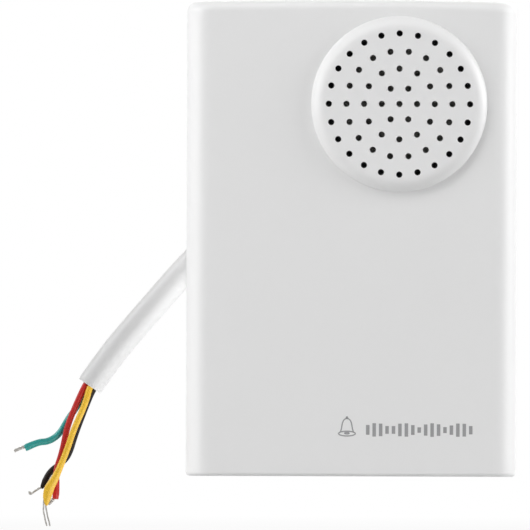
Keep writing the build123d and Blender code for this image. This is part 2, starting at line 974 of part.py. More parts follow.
nodes = {
    "front_cover": front_cover(),
    "rear_cover": rear_cover(),
    "housing_screws": housing_screws(),
    "clamp_screws": clamp_screws(),
    "clamp_washers": clamp_washers(),
    "speaker_gasket": speaker_gasket(),
    "speaker_frame": speaker_frame(),
    "speaker_cone": speaker_cone(),
    "speaker_surround": speaker_surround(),
    "dust_cap": dust_cap(),
    "voice_coil": voice_coil(),
    "spider": spider(),
    "top_plate": top_plate(),
    "magnet": magnet(),
    "yoke": yoke(),
    "terminal_board": terminal_board(),
    "terminal_lugs": terminal_lugs(),
    "circuit_board": circuit_board(),
    "board_screws": board_screws(),
    "chime_chip": chime_chip(),
    "transistors": transistors(),
    "capacitors": capacitors(),
    "resistors": resistors(),
    "diode": diode(),
    "solder_joints": solder_joints(),
    "cable_jacket": cable_jacket(),
    "core_red": core("core_red"),
    "core_yellow": core("core_yellow"),
    "core_teal": core("core_teal"),
    "core_black": core("core_black"),
    "copper_ends": copper(),
    "cable_tie": cable_tie(),
    "speaker_leads": speaker_leads(),
}

os.makedirs("parts", exist_ok=True)
for name, shape in nodes.items():
    solids = shape if isinstance(shape, list) else shape.solids()
    whole = Compound([solid for item in solids for solid in item.solids()])
    export_step(whole if len(solids) > 1 else whole.solids()[0], f"parts/{name}.step")
print(len(nodes), "nodes written")
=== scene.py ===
"""A wired door chime: a white moulded box with a round grille, and its stripped cable.

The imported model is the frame. Carried-over nodes get their finishes here, and cords, cloth,
fasteners and print are made as pieces of their own. Lengths are in metres.
"""

from __future__ import annotations

import json
import logging
import math
from dataclasses import dataclass
from enum import Enum
from itertools import accumulate
from typing import Any, Mapping, Sequence

import bmesh
import bpy
from mathutils import Matrix, Vector

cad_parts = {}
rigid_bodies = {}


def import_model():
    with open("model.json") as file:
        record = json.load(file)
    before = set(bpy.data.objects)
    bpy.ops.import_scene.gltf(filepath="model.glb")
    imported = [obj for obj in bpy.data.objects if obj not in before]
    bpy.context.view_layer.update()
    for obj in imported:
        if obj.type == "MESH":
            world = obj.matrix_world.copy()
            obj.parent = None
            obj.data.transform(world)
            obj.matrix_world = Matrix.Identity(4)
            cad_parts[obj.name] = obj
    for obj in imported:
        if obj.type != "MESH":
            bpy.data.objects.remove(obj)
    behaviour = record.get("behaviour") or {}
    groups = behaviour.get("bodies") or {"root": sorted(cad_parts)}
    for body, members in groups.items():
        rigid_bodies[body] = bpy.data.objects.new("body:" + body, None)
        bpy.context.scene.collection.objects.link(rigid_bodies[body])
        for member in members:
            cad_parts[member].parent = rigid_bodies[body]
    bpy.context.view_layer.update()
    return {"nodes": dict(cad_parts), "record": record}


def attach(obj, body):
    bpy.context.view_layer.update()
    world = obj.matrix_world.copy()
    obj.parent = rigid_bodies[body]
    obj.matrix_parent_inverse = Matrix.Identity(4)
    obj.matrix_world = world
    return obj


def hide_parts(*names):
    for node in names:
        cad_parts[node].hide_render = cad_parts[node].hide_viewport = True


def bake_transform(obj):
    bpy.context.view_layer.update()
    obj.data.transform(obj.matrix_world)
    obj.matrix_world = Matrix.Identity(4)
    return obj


log = logging.getLogger("chime")

MM = 0.001
Colour = tuple[float, float, float]
Point = tuple[float, float, float]
Flat = tuple[float, float]


class Body(Enum):
    """The bodies that pieces ride on."""

    HOUSING = "housing"
    DIAPHRAGM = "diaphragm"


class Drive(Enum):
    """Which way a screw's head faces."""

    TO_WALL = 1
    TO_FRONT = -1


# Node trees


class Value:
    """A number on a node's socket, so that shader maths reads as Python."""

    def __init__(self, graph: "Graph", socket: bpy.types.NodeSocket) -> None:
        """Wraps a socket.

        Args:
            graph: The tree that the socket belongs to.
            socket: An output socket that holds a number.
        """
        self.graph = graph
        self.socket = socket

    def _math(self, operation: str, *others: Any) -> "Value":
        """Adds a Math node.

        Args:
            operation: The node's operation.
            others: The numbers after this one.

        Returns:
            The node's result.
        """
        values = dict(enumerate((self, *others)))
        node = self.graph.add("ShaderNodeMath", {"operation": operation}, values)
        return Value(self.graph, node.outputs[0])

    def __add__(self, other: Any) -> "Value":
        """Sum."""
        return self._math("ADD", other)

    __radd__ = __add__

    def __sub__(self, other: Any) -> "Value":
        """Difference."""
        return self._math("SUBTRACT", other)

    def __rsub__(self, other: float) -> "Value":
        """Difference from a number."""
        return (self * -1.0) + other

    def __mul__(self, other: Any) -> "Value":
        """Product."""
        return self._math("MULTIPLY", other)

    def __truediv__(self, other: Any) -> "Value":
        """Quotient."""
        return self._math("DIVIDE", other)

    def __abs__(self) -> "Value":
        """Size without its sign."""
        return self._math("ABSOLUTE")

    def sine(self) -> "Value":
        """Sine of the number in radians."""
        return self._math("SINE")

    def root(self) -> "Value":
        """Square root."""
        return self._math("SQRT")

    def most(self, other: Any) -> "Value":
        """The larger of two numbers."""
        return self._math("MAXIMUM", other)

    def above(self, limit: float) -> "Value":
        """1 where the number is above a limit, otherwise 0."""
        return self._math("GREATER_THAN", limit)

    def below(self, limit: float) -> "Value":
        """1 where the number is below a limit, otherwise 0."""
        return self._math("LESS_THAN", limit)

    def ramp(self, low: float, high: float) -> "Value":
        """Rises smoothly from 0 at low to 1 at high."""
        settings = {"interpolation_type": "SMOOTHSTEP"}
        values = {0: self, 1: low, 2: high}
        return Value(self.graph, self.graph.add("ShaderNodeMapRange", settings, values).outputs[0])


class Graph:
    """A node tree that is being built, for a material, the world or a modifier."""

    def __init__(self, tree: bpy.types.NodeTree) -> None:
        """Starts from an empty tree.

        Args:
            tree: The tree to fill.
        """
        self.tree = tree
        self.tree.nodes.clear()

    def add(
        self,
        kind: str,
        settings: Mapping[str, Any] | None = None,
        values: Mapping[Any, Any] | None = None,
    ) -> bpy.types.Node:
        """Adds one node of any type.

        Args:
            kind: The node's type.
            settings: Its own settings, set first.
            values: What each input socket holds: a number, a colour or a link.

        Returns:
            The node.
        """
        node = self.tree.nodes.new(kind)
        for name, setting in (settings or {}).items():
            setattr(node, name, setting)
        for key, value in (values or {}).items():
            source = value.socket if isinstance(value, Value) else value
            if isinstance(source, bpy.types.NodeSocket):
                self.tree.links.new(source, node.inputs[key])
            else:
                node.inputs[key].default_value = source
        return node

    def background_rays(self) -> Value:
        """1 for what the camera, gloss and glass see, otherwise 0."""
        rays = self.add("ShaderNodeLightPath")
        camera, gloss, glass = (
            Value(self, rays.outputs[f"Is {kind} Ray"]) for kind in ("Camera", "Glossy", "Transmission")
        )
        return camera.most(gloss).most(glass)


class Surface(Graph):
    """A material that is being painted."""

    def __init__(self, name: str) -> None:
        """Makes an empty material.

        Args:
            name: The material's name.
        """
        self.material = bpy.data.materials.new(name)
        self.material.use_nodes = True
        super().__init__(self.material.node_tree)
        self.output = self.add("ShaderNodeOutputMaterial")
        self.places = self.add("ShaderNodeTexCoord")

    def axes(self) -> tuple[Value, Value, Value]:
        """The place on the object along X, Y and Z, in metres."""
        parts = self.add("ShaderNodeSeparateXYZ", None, {0: self.places.outputs["Object"]})
        return tuple(Value(self, parts.outputs[k]) for k in range(3))

    def uv(self) -> tuple[Value, Value]:
        """The place round a cord, from 0 to 1, and along it, in metres."""
        parts = self.add("ShaderNodeSeparateXYZ", None, {0: self.places.outputs["UV"]})
        return Value(self, parts.outputs[0]), Value(self, parts.outputs[1])

    def facing(self) -> tuple[Value, Value, Value]:
        """The surface's own direction along X, Y and Z."""
        normal = self.add("ShaderNodeNewGeometry").outputs["Normal"]
        parts = self.add("ShaderNodeSeparateXYZ", None, {0: normal})
        return tuple(Value(self, parts.outputs[k]) for k in range(3))

    def vector(self, x: Any, y: Any, z: Any) -> bpy.types.NodeSocket:
        """A vector made of three numbers."""
        return self.add("ShaderNodeCombineXYZ", None, {0: x, 1: y, 2: z}).outputs[0]

    def noise(self, size: float, detail: float = 2.0, vector: Any = None) -> Value:
        """Soft random values.

        Args:
            size: The width of one patch in metres.
            detail: How many finer layers are added.
            vector: Where it is read, if not the place on the object.

        Returns:
            A number from 0 to 1.
        """
        place = vector or self.places.outputs["Object"]
        values = {"Vector": place, "Scale": 1.0 / size, "Detail": detail, "Roughness": 0.55}
        return Value(self, self.add("ShaderNodeTexNoise", None, values).outputs[0])

    def cells(self, size: float, feature: str = "F1") -> Value:
        """Distance pattern of irregular cells.

        Args:
            size: The width of one cell in metres.
            feature: Which distance is given.

        Returns:
            The distance, in cells.
        """
        values = {"Vector": self.places.outputs["Object"], "Scale": 1.0 / size}
        return Value(self, self.add("ShaderNodeTexVoronoi", {"feature": feature}, values).outputs[0])

    def blend(self, share: Value, low: Any, high: Any) -> bpy.types.NodeSocket:
        """A colour between two.

        Args:
            share: 0 for the first colour, 1 for the second.
            low: The first colour, or a link.
            high: The second colour, or a link.

        Returns:
            The mixed colour's socket.
        """
        colours = [(*c, 1.0) if isinstance(c, tuple) else c for c in (low, high)]
        settings = {"data_type": "RGBA", "clamp_factor": True}
        return self.add("ShaderNodeMix", settings, {0: share, 6: colours[0], 7: colours[1]}).outputs[2]

    def relief(self, height: Value, depth: float) -> bpy.types.NodeSocket:
        """A normal that shows a height.

        Args:
            height: The height, where 1 is one depth.
            depth: The depth in metres.

        Returns:
            The normal's socket.
        """
        values = {"Strength": 1.0, "Distance": depth, "Height": height}
        return self.add("ShaderNodeBump", None, values).outputs[0]

    def spread(self, share: Value, colour: Colour, dark: float, light: float) -> bpy.types.NodeSocket:
        """Shades of one colour.

        Args:
            share: 0 for the dark shade, 1 for the light one.
            colour: The colour.
            dark: The dark shade, as a share of the colour.
            light: The light shade, likewise.

        Returns:
            The mixed colour's socket.
        """
        return self.blend(share, scaled(colour, dark), scaled(colour, light))

    def shade(self, values: Mapping[str, Any]) -> None:
        """Ends the material in one Principled shader.

        Args:
            values: What its sockets hold.
        """
        flat = {
            name: (*value, 1.0) if isinstance(value, tuple) and len(value) == 3 else value
            for name, value in values.items()
        }
        shader = self.add("ShaderNodeBsdfPrincipled", None, flat)
        self.tree.links.new(shader.outputs[0], self.output.inputs[0])


def scaled(colour: Colour, share: float) -> Colour:
    """A colour made lighter or darker."""
    return tuple(min(1.0, part * share) for part in colour)


# Finishes


@dataclass(frozen=True)
class Finish:
    """What every finish has: its name, its colour and its roughness."""

    name: str
    colour: Colour
    roughness: float

    def material(self) -> bpy.types.Material:
        """The finish as a material, made once."""
        known = bpy.data.materials.get("finish_" + self.name)
        if known is not None:
            return known
        surface = Surface("finish_" + self.name)
        self.paint(surface)
        return surface.material

    def paint(self, surface: Surface) -> None:
        """Fills the material; each kind of finish has its own way."""
        raise NotImplementedError


@dataclass(frozen=True)
class MouldedShell(Finish):
    """Satin moulded plastic with a fine eroded texture and a grooved joint line between two shells, darkened
    with painted shadow.
    """

    grain: float = 0.16 * MM
    grain_depth: float = 0.0016 * MM
    cloud: float = 24 * MM
    cloud_contrast: float = 0.01
    gloss_patch: float = 9 * MM
    gloss_swing: float = 0.07
    refraction: float = 1.53
    joint_y: float = -8.0 * MM
    joint_w: float = 0.11 * MM
    # how far the joint line is darkened: painted shadow in the gap between the shells
    joint_painted_shadow: float = 0.75
    joint_grains: float = 40.0

    def paint(self, surface: Surface) -> None:
        """Paints the shell."""
        _, y, _ = surface.axes()
        cloud = surface.noise(self.cloud, 3.0)
        grain = surface.noise(self.grain, 1.0)
        joint = 1.0 - abs(y - self.joint_y).ramp(self.joint_w * 0.4, self.joint_w * 1.4)
        plain = surface.spread(cloud, self.colour, 1 - self.cloud_contrast, 1 + self.cloud_contrast)
        patch = (surface.noise(self.gloss_patch, 2.0) - 0.5) * self.gloss_swing
        surface.shade(
            {
                # painted shadow: the base colour darkens along the joint line between the shells
                "Base Color": surface.blend(joint * self.joint_painted_shadow, plain, scaled(self.colour, 0.3)),
                "Roughness": self.roughness + patch + joint * 0.3,
                "IOR": self.refraction,
                "Normal": surface.relief(grain - joint * self.joint_grains, self.grain_depth),
            }
        )


@dataclass(frozen=True)
class SoftJacket(Finish):
    """Extruded soft plastic on a cord, with drag lines along it and handling marks."""

    streak: float = 0.05
    marks: float = 0.12
    gloss: float = 0.3
    lines_round: float = 34.0
    lines_per_metre: float = 130.0
    line_depth: float = 0.004 * MM
    dust: float = 1.3 * MM

    def paint(self, surface: Surface) -> None:
        """Paints the cord's skin."""
        around, along = surface.uv()
        place = surface.vector(around * self.lines_round, along * self.lines_per_metre, 0.0)
        lines = surface.noise(1.0, 3.0, place)
        dust = surface.noise(self.dust, 3.0).ramp(0.58, 0.8)
        skin = surface.spread(lines, self.colour, 1 - self.streak, 1 + self.streak)
        surface.shade(
            {
                "Base Color": surface.blend(dust * self.marks, skin, scaled(self.colour, 0.72)),
                "Roughness": self.roughness + (lines - 0.5) * 0.16 + dust * 0.1,
                "Specular IOR Level": self.gloss,
                "Normal": surface.relief(lines, self.line_depth),
            }
        )


@dataclass(frozen=True)
class Metal(Finish):
    """Bare or plated metal with fine scratches and cloudy spots."""

    tarnish: Colour = (0.3, 0.3, 0.3)
    spots: float = 0.25
    scratch: float = 0.12 * MM
    scratch_depth: float = 0.004 * MM
    stretch: float = 9.0
    cloud: float = 1.1 * MM

    def paint(self, surface: Surface) -> None:
        """Paints the metal."""
        x, y, z = surface.axes()
        place = surface.vector(x / self.scratch, y / self.scratch, z / (self.scratch * self.stretch))
        lines = surface.noise(1.0, 2.0, place)
        cloud = surface.noise(self.cloud, 3.0).ramp(0.42, 0.75)
        surface.shade(
            {
                "Base Color": surface.blend(cloud * self.spots, self.colour, self.tarnish),
                "Metallic": 1.0,
                "Roughness": self.roughness + cloud * 0.14 + (lines - 0.5) * 0.1,
                "Normal": surface.relief(lines, self.scratch_depth),
            }
        )


@dataclass(frozen=True)
class Speckled(Finish):
    """Dull cast or pressed matter: paper, ferrite, phenolic board, nylon or paint."""

    fleck: float = 0.3 * MM
    contrast: float = 0.12
    depth: float = 0.02 * MM
    stretch: float = 1.0

    def paint(self, surface: Surface) -> None:
        """Paints the flecks."""
        x, y, z = surface.axes()
        place = surface.vector(x / self.fleck, y / self.fleck, z / (self.fleck * self.stretch))
        fleck = surface.noise(1.0, 4.0, place)
        shades = (1 - self.contrast, 1 + self.contrast)
        surface.shade(
            {
                "Base Color": surface.spread(fleck.ramp(0.3, 0.7), self.colour, *shades),
                "Roughness": self.roughness + (fleck - 0.5) * 0.2,
                "Normal": surface.relief(fleck, self.depth),
            }
        )


@dataclass(frozen=True)
class Woven(Finish):
    """Impregnated cloth, with its threads across X and Z."""

    thread: float = 0.35 * MM
    thread_depth: float = 0.05 * MM
    stain: float = 2.5 * MM
    stain_shade: float = 0.2

    def paint(self, surface: Surface) -> None:
        """Paints the weave."""
        x, _, z = surface.axes()
        turn = math.tau / (2 * self.thread)
        weave = ((x * turn).sine() * (z * turn).sine()).ramp(-0.8, 0.8)
        stain = surface.noise(self.stain, 3.0)
        cloth = surface.spread(weave, self.colour, 0.72, 1.15)
        surface.shade(
            {
                "Base Color": surface.blend(stain * self.stain_shade, cloth, scaled(self.colour, 0.5)),
                "Roughness": self.roughness - stain * 0.2,
                "Normal": surface.relief(weave, self.thread_depth),
            }
        )


@dataclass(frozen=True)
class Cellular(Finish):
    """Open foam."""

    pore: float = 0.4 * MM
    pore_depth: float = 0.1 * MM

    def paint(self, surface: Surface) -> None:
        """Paints the pores."""
        pores = surface.cells(self.pore).ramp(0.1, 0.55)
        surface.shade(
            {
                "Base Color": surface.spread(pores, self.colour, 0.35, 1.3),
                "Roughness": self.roughness,
                "Normal": surface.relief(pores, self.pore_depth),
            }
        )


@dataclass(frozen=True)
class MaskedBoard(Finish):
    """Green solder mask over copper tracks, with the bare laminate at its edges."""

    laminate: Colour = (0.52, 0.5, 0.3)
    track: float = 3.4 * MM
    track_depth: float = 0.03 * MM
    front_y: float = -8.6 * MM
    back_y: float = -7.0 * MM
    mask_t: Flat = (0.02 * MM, 0.05 * MM)

    def paint(self, surface: Surface) -> None:
        """Paints tracks, mask and edges."""
        _, y, _ = surface.axes()
        edge = (y - self.front_y).ramp(*self.mask_t) * (self.back_y - y).ramp(*self.mask_t)
        tracks = 1.0 - surface.cells(self.track, "DISTANCE_TO_EDGE").ramp(0.06, 0.11)
        mask = surface.spread(tracks, self.colour, 1.0, 1.9)
        surface.shade(
            {
                "Base Color": surface.blend(edge, mask, self.laminate),
                "Roughness": self.roughness + edge * 0.35,
                "Normal": surface.relief(tracks, self.track_depth),
            }
        )


@dataclass(frozen=True)
class LeggedBlock(Finish):
    """Moulded component body with colour bands, and bright legs where they leave it."""

    centre: Flat
    body_half: Flat
    legs_from_y: float
    bands: tuple[tuple[float, Colour], ...] = ()
    band_half: float = 0.22 * MM
    tin: Colour = (0.72, 0.72, 0.7)
    grain: float = 0.12 * MM
    grain_depth: float = 0.01 * MM

    def paint(self, surface: Surface) -> None:
        """Paints body, bands and legs."""
        x, y, z = surface.axes()
        beyond_x = abs(x - self.centre[0]).above(self.body_half[0])
        beyond_z = abs(z - self.centre[1]).above(self.body_half[1])
        legs = beyond_x.most(beyond_z).most(y.above(self.legs_from_y))
        grain = surface.noise(self.grain, 2.0)
        body = surface.spread(grain, self.colour, 0.85, 1.2)
        for place, colour in self.bands:
            body = surface.blend(abs(x - place).below(self.band_half), body, colour)
        surface.shade(
            {
                "Base Color": surface.blend(legs, body, self.tin),
                "Metallic": legs,
                "Roughness": self.roughness - legs * 0.25 + (grain - 0.5) * 0.1,
                "Normal": surface.relief(grain, self.grain_depth),
            }
        )


@dataclass(frozen=True)
class SleevedCan(Finish):
    """Shrunk sleeve over an aluminium can whose end shows, with one pale stripe."""

    centres: tuple[Flat, ...]
    stripe: Colour = (0.62, 0.66, 0.7)
    stripe_half: float = 0.8 * MM
    can_reach: float = 4 * MM
    aluminium: Colour = (0.78, 0.79, 0.8)
    wrinkle: float = 0.9 * MM
    wrinkle_depth: float = 0.02 * MM

    def paint(self, surface: Surface) -> None:
        """Paints sleeve, stripe and can end."""
        x, _, z = surface.axes()
        _, up, _ = surface.facing()
        end = (up * -1.0).ramp(0.86, 0.95)
        wrinkle = surface.noise(self.wrinkle, 3.0)
        sleeve = surface.spread(wrinkle, self.colour, 0.8, 1.3)
        for across, level in self.centres:
            beside = (x - across).above(0.0) * (x - across).below(self.can_reach)
            sleeve = surface.blend(abs(z - level).below(self.stripe_half) * beside, sleeve, self.stripe)
        surface.shade(
            {
                "Base Color": surface.blend(end, sleeve, self.aluminium),
                "Metallic": end,
                "Roughness": self.roughness + wrinkle * 0.12,
                "Normal": surface.relief(wrinkle, self.wrinkle_depth),
            }
        )


@dataclass(frozen=True)
class PadPrint(Finish):
    """Grey printing ink, a little uneven where the pad lifted."""

    lift: float = 0.5 * MM

    def paint(self, surface: Surface) -> None:
        """Paints the ink."""
        lift = surface.noise(self.lift, 3.0)
        surface.shade(
            {
                "Base Color": surface.spread(lift, self.colour, 0.93, 1.07),
                "Roughness": self.roughness + (lift - 0.5) * 0.1,
            }
        )


BLACK_EPOXY = (0.02, 0.02, 0.022)
BOARD_MIDDLE = (-22.5 * MM, 30.0 * MM)
BOARD_REACH = (20 * MM, 20 * MM)
CAN_PLACES = ((-31.5 * MM, 33.9 * MM), (-19.5 * MM, 40.5 * MM))
CHIP_MIDDLE = (-23.0 * MM, 26.7 * MM)
DIODE_MIDDLE = (-23.5 * MM, 20.4 * MM)
DIODE_BANDS = ((-21.7 * MM, (0.7, 0.7, 0.68)),)
RESISTORS_MIDDLE = (-23.0 * MM, 34.3 * MM)
RESISTOR_BANDS = (
    (-24.1 * MM, (0.35, 0.16, 0.06)),
    (-23.4 * MM, (0.02, 0.02, 0.02)),
    (-22.7 * MM, (0.6, 0.05, 0.03)),
    (-21.7 * MM, (0.55, 0.4, 0.12)),
)

FINISHES: dict[str, Finish] = {
    finish.name: finish
    for finish in (
        MouldedShell("white_housing", (0.83, 0.83, 0.83), 0.4),
        Metal("zinc_steel", (0.72, 0.73, 0.74), 0.3, tarnish=(0.5, 0.5, 0.52), spots=0.3),
        Speckled(
            "black_steel", (0.035, 0.035, 0.038), 0.42,
            fleck=0.2 * MM, contrast=0.2, depth=0.01 * MM,
        ),
        Speckled("ferrite", (0.07, 0.07, 0.075), 0.55, fleck=0.25 * MM, contrast=0.25, depth=0.03 * MM),
        Speckled(
            "cone_paper", (0.8, 0.79, 0.76), 0.85,
            fleck=0.35 * MM, contrast=0.14, depth=0.04 * MM, stretch=3.0,
        ),
        Woven("surround_cloth", (0.12, 0.12, 0.125), 0.8, thread=0.3 * MM),
        Woven("spider_cloth", (0.62, 0.38, 0.1), 0.75, thread=0.4 * MM),
        Cellular("foam", (0.05, 0.05, 0.05), 0.9),
        Metal(
            "copper", (0.83, 0.5, 0.34), 0.28,
            tarnish=(0.4, 0.2, 0.12), spots=0.4, scratch=0.05 * MM,
        ),
        Metal(
            "tinned_copper", (0.43, 0.42, 0.4), 0.38,
            tarnish=(0.3, 0.25, 0.21), spots=0.4, scratch=0.05 * MM,
        ),
        Metal(
            "tin_solder", (0.8, 0.8, 0.78), 0.24,
            tarnish=(0.5, 0.5, 0.5), spots=0.3, scratch=0.2 * MM,
        ),
        MaskedBoard("board_green", (0.015, 0.16, 0.06), 0.32),
        Speckled("terminal_brown", (0.3, 0.16, 0.07), 0.6, fleck=0.4 * MM, contrast=0.2, depth=0.01 * MM),
        SleevedCan("can_sleeve", (0.02, 0.05, 0.14), 0.3, centres=CAN_PLACES),
        LeggedBlock(
            "resistor_beige", (0.6, 0.46, 0.26), 0.4, centre=RESISTORS_MIDDLE,
            body_half=(1.8 * MM, 3.0 * MM), legs_from_y=-8.85 * MM, bands=RESISTOR_BANDS,
        ),
        LeggedBlock(
            "transistor", BLACK_EPOXY, 0.5, centre=BOARD_MIDDLE,
            body_half=BOARD_REACH, legs_from_y=-10.58 * MM,
        ),
        LeggedBlock(
            "chip", BLACK_EPOXY, 0.5, centre=CHIP_MIDDLE,
            body_half=(4.75 * MM, 3.22 * MM), legs_from_y=-9.05 * MM,
        ),
        LeggedBlock(
            "diode", BLACK_EPOXY, 0.35, centre=DIODE_MIDDLE,
            body_half=(2.62 * MM, 1.4 * MM), legs_from_y=-8.62 * MM, bands=DIODE_BANDS,
        ),
        SoftJacket("jacket_white", (0.84, 0.84, 0.84), 0.42, streak=0.012, marks=0.02),
        SoftJacket("pvc_red", (0.58, 0.018, 0.014), 0.36, streak=0.03, marks=0.04, gloss=0.35),
        SoftJacket("pvc_yellow", (1.0, 0.6, 0.035), 0.4, streak=0.02, marks=0.03, gloss=0.5),
        SoftJacket("pvc_teal", (0.03, 0.39, 0.36), 0.36, streak=0.03, marks=0.04, gloss=0.4),
        SoftJacket("pvc_black", (0.012, 0.007, 0.005), 0.45, streak=0.03, marks=0.04, gloss=0.2),
        Speckled("nylon", (0.76, 0.75, 0.7), 0.45, fleck=0.5 * MM, contrast=0.05, depth=0.01 * MM),
        PadPrint("print_grey", (0.33, 0.33, 0.335), 0.5),
    )
}

NODE_FINISH = {"transistors": "transistor", "chime_chip": "chip", "diode": "diode"}
JACKET_NAME = "cable_skin"
INSULATION_NAME = "insulation_"
COPPER_NAME = "copper_"
CABLE_AIM = (-0.055, 0.0, -0.03)


# Meshes


def linked(name: str, data: bpy.types.ID) -> bpy.types.Object:
    """Puts a new object in the scene.

    Args:
        name: Its name.
        data: Its mesh, curve, lamp or camera.

    Returns:
        The object.
    """
    obj = bpy.data.objects.new(name, data)
    bpy.context.scene.collection.objects.link(obj)
    return obj


def piece(
    name: str,
    mesh: bpy.types.Mesh,
    finish: str | None = None,
    sharp: float = 35.0,
) -> bpy.types.Object:
    """Links a mesh as a piece at the origin.

    Args:
        name: The piece's name.
        mesh: Its mesh, with its place in it.
        finish: The finish's name, if the mesh has no material yet.
        sharp: The angle in degrees above which an edge stays sharp.

    Returns:
        The piece.
    """
    if finish is not None:
        mesh.materials.clear()
        mesh.materials.append(FINISHES[finish].material())
    mesh.shade_smooth()
    mesh.set_sharp_from_angle(angle=math.radians(sharp))
    return linked(name, mesh)


def evaluated(obj: bpy.types.Object) -> bpy.types.Mesh:
    """An object's mesh with its modifiers, after which the object is deleted.

    Args:
        obj: The object.

    Returns:
        The new mesh.
    """
    bpy.context.view_layer.update()
    depsgraph = bpy.context.evaluated_depsgraph_get()
    mesh = bpy.data.meshes.new_from_object(obj.evaluated_get(depsgraph))
    obj.modifiers.clear()
    bpy.data.objects.remove(obj)
    return mesh


def closed_mesh(name: str, build: bmesh.types.BMesh) -> bpy.types.Mesh:
    """A mesh from a bmesh whose faces all point outwards.

    Args:
        name: The mesh's name.
        build: The bmesh, which is freed.

    Returns:
        The mesh.
    """
    bmesh.ops.recalc_face_normals(build, faces=build.faces)
    mesh = bpy.data.meshes.new(name)
    build.to_mesh(mesh)
    build.free()
    return mesh


def ribbon(line: Sequence[Flat], thickness: float) -> list[Flat]:
    """A closed outline of one thickness round a line of points.

    Args:
        line: The line through the middle.
        thickness: The full thickness.

    Returns:
        The outline, one side forwards and the other back.
    """
    sides: tuple[list[Flat], list[Flat]] = ([], [])
    for k, point in enumerate(line):
        before = Vector(line[max(k - 1, 0)])
        after = Vector(line[min(k + 1, len(line) - 1)])
        way = (after - before).normalized()
        normal = Vector((-way.y, way.x)) * thickness / 2
        for side, sign in zip(sides, (1, -1)):
            place = Vector(point) + normal * sign
            side.append((place.x, place.y))
    return sides[0] + sides[1][::-1]


def ring(steps: int, start: float = 0.0) -> list[Flat]:
    """Cosine and sine of even steps round a whole turn.

    Args:
        steps: How many steps make the turn.
        start: Where it starts, as a share of the turn.

    Returns:
        One pair for each step.
    """
    turns = [math.tau * (k / steps + start) for k in range(steps)]
    return [(math.cos(turn), math.sin(turn)) for turn in turns]


def lathe(name: str, outline: Sequence[Flat], centre: Flat, steps: int) -> bpy.types.Mesh:
    """Turns a closed outline of radius and y about an axis along Y.

    Args:
        name: The mesh's name.
        outline: The closed outline.
        centre: The axis's x and z.
        steps: How many steps make the turn.

    Returns:
        The mesh.
    """
    build = bmesh.new()
    stations = [
        [build.verts.new((centre[0] + r * across, y, centre[1] + r * up)) for r, y in outline]
        for across, up in ring(steps)
    ]
    count = len(outline)
    for here, following in zip(stations, stations[1:] + stations[:1]):
        for k in range(count):
            j = (k + 1) % count
            build.faces.new((here[k], here[j], following[j], following[k]))
    return closed_mesh(name, build)


@dataclass
class Tube:
    """A skin that follows a line and may swell, taper or flatten towards its far end.

    Each place of its shape is (distance from the far end, share of the radius front to back,
    share of it sideways). The bore is nowhere wider than its share of the skin.
    """

    line: list[Vector]
    radius: float
    sides: int
    bore: float
    shape: Sequence[Point] = ((0.0, 1.0, 1.0),)
    bore_share: float = 0.7

    def distances(self) -> list[float]:
        """Distance along the line at each of its points."""
        return list(accumulate((b - a).length for a, b in zip([self.line[0], *self.line], self.line)))

    def shares(self, rest: float) -> Flat:
        """The two shares of the radius at a distance from the far end."""
        for low, high in zip(self.shape, self.shape[1:]):
            if rest <= high[0]:
                step = (rest - low[0]) / (high[0] - low[0])
                return low[1] + (high[1] - low[1]) * step, low[2] + (high[2] - low[2]) * step
        return self.shape[-1][1:]

    def frames(self) -> list[tuple[Vector, Vector]]:
        """Two directions across the line, the first to the front, carried along without twist."""
        frames = []
        across = Vector((0, -1, 0))
        last = len(self.line) - 1
        for k in range(len(self.line)):
            way = (self.line[min(k + 1, last)] - self.line[max(k - 1, 0)]).normalized()
            across = (across - way * across.dot(way)).normalized()
            frames.append((across.copy(), way.cross(across)))
        return frames

    def mesh(self, name: str) -> bpy.types.Mesh:
        """Builds the skin, with its end faces and its bore.

        Args:
            name: The mesh's name.

        Returns:
            The mesh, whose UV map runs round and along it.
        """
        build = bmesh.new()
        layer = build.loops.layers.uv.new("along")
        distances = self.distances()
        frames = self.frames()
        skins = []
        for inside in (False, True):
            rings = []
            for point, distance, (a, b) in zip(self.line, distances, frames):
                deep, wide = (self.radius * s for s in self.shares(distances[-1] - distance))
                if inside:
                    deep, wide = (min(self.bore, half * self.bore_share) for half in (deep, wide))
                spokes = [a * c * deep + b * s * wide for c, s in ring(self.sides)]
                rings.append([build.verts.new(point + spoke) for spoke in spokes])
            skins.append(rings)
        for rings in skins:
            for k in range(len(rings) - 1):
                self._band(build, layer, rings[k], rings[k + 1], distances[k], distances[k + 1])
        for end in (0, -1):
            self._band(build, layer, skins[0][end], skins[1][end], distances[end], distances[end])
        return closed_mesh(name, build)

    def _band(
        self,
        build: bmesh.types.BMesh,
        layer: Any,
        one: list[bmesh.types.BMVert],
        two: list[bmesh.types.BMVert],
        near: float,
        far: float,
    ) -> None:
        """Joins two rings.

        Args:
            build: The bmesh.
            layer: Its UV layer.
            one: The first ring.
            two: The second ring.
            near: The first ring's distance along the line.
            far: The second ring's distance along the line.
        """
        for step in range(self.sides):
            following = (step + 1) % self.sides
            face = build.faces.new((one[step], one[following], two[following], two[step]))
            corners = ((step, near), (step + 1, near), (step + 1, far), (step, far))
            for loop, (turn, place) in zip(face.loops, corners):
                loop[layer].uv = (turn / self.sides, place)


def spline(route: Sequence[Point], steps: int = 14) -> list[Vector]:
    """Points along the smooth line that a route's points control.

    Args:
        route: The control points.
        steps: How many points each stretch gets.

    Returns:
        The points, from the route's start to its end.
    """
    data = bpy.data.curves.new("route", "CURVE")
    data.dimensions = "3D"
    data.resolution_u = steps
    line = data.splines.new("NURBS")
    line.points.add(len(route) - 1)
    for point, place in zip(line.points, route):
        point.co = (*place, 1.0)
    line.order_u = 3
    line.use_endpoint_u = True
    line.resolution_u = steps
    mesh = evaluated(linked("route", data))
    points = [vertex.co.copy() for vertex in mesh.vertices]
    bpy.data.meshes.remove(mesh)
    bpy.data.curves.remove(data)
    return points


# Patterns in Geometry Nodes


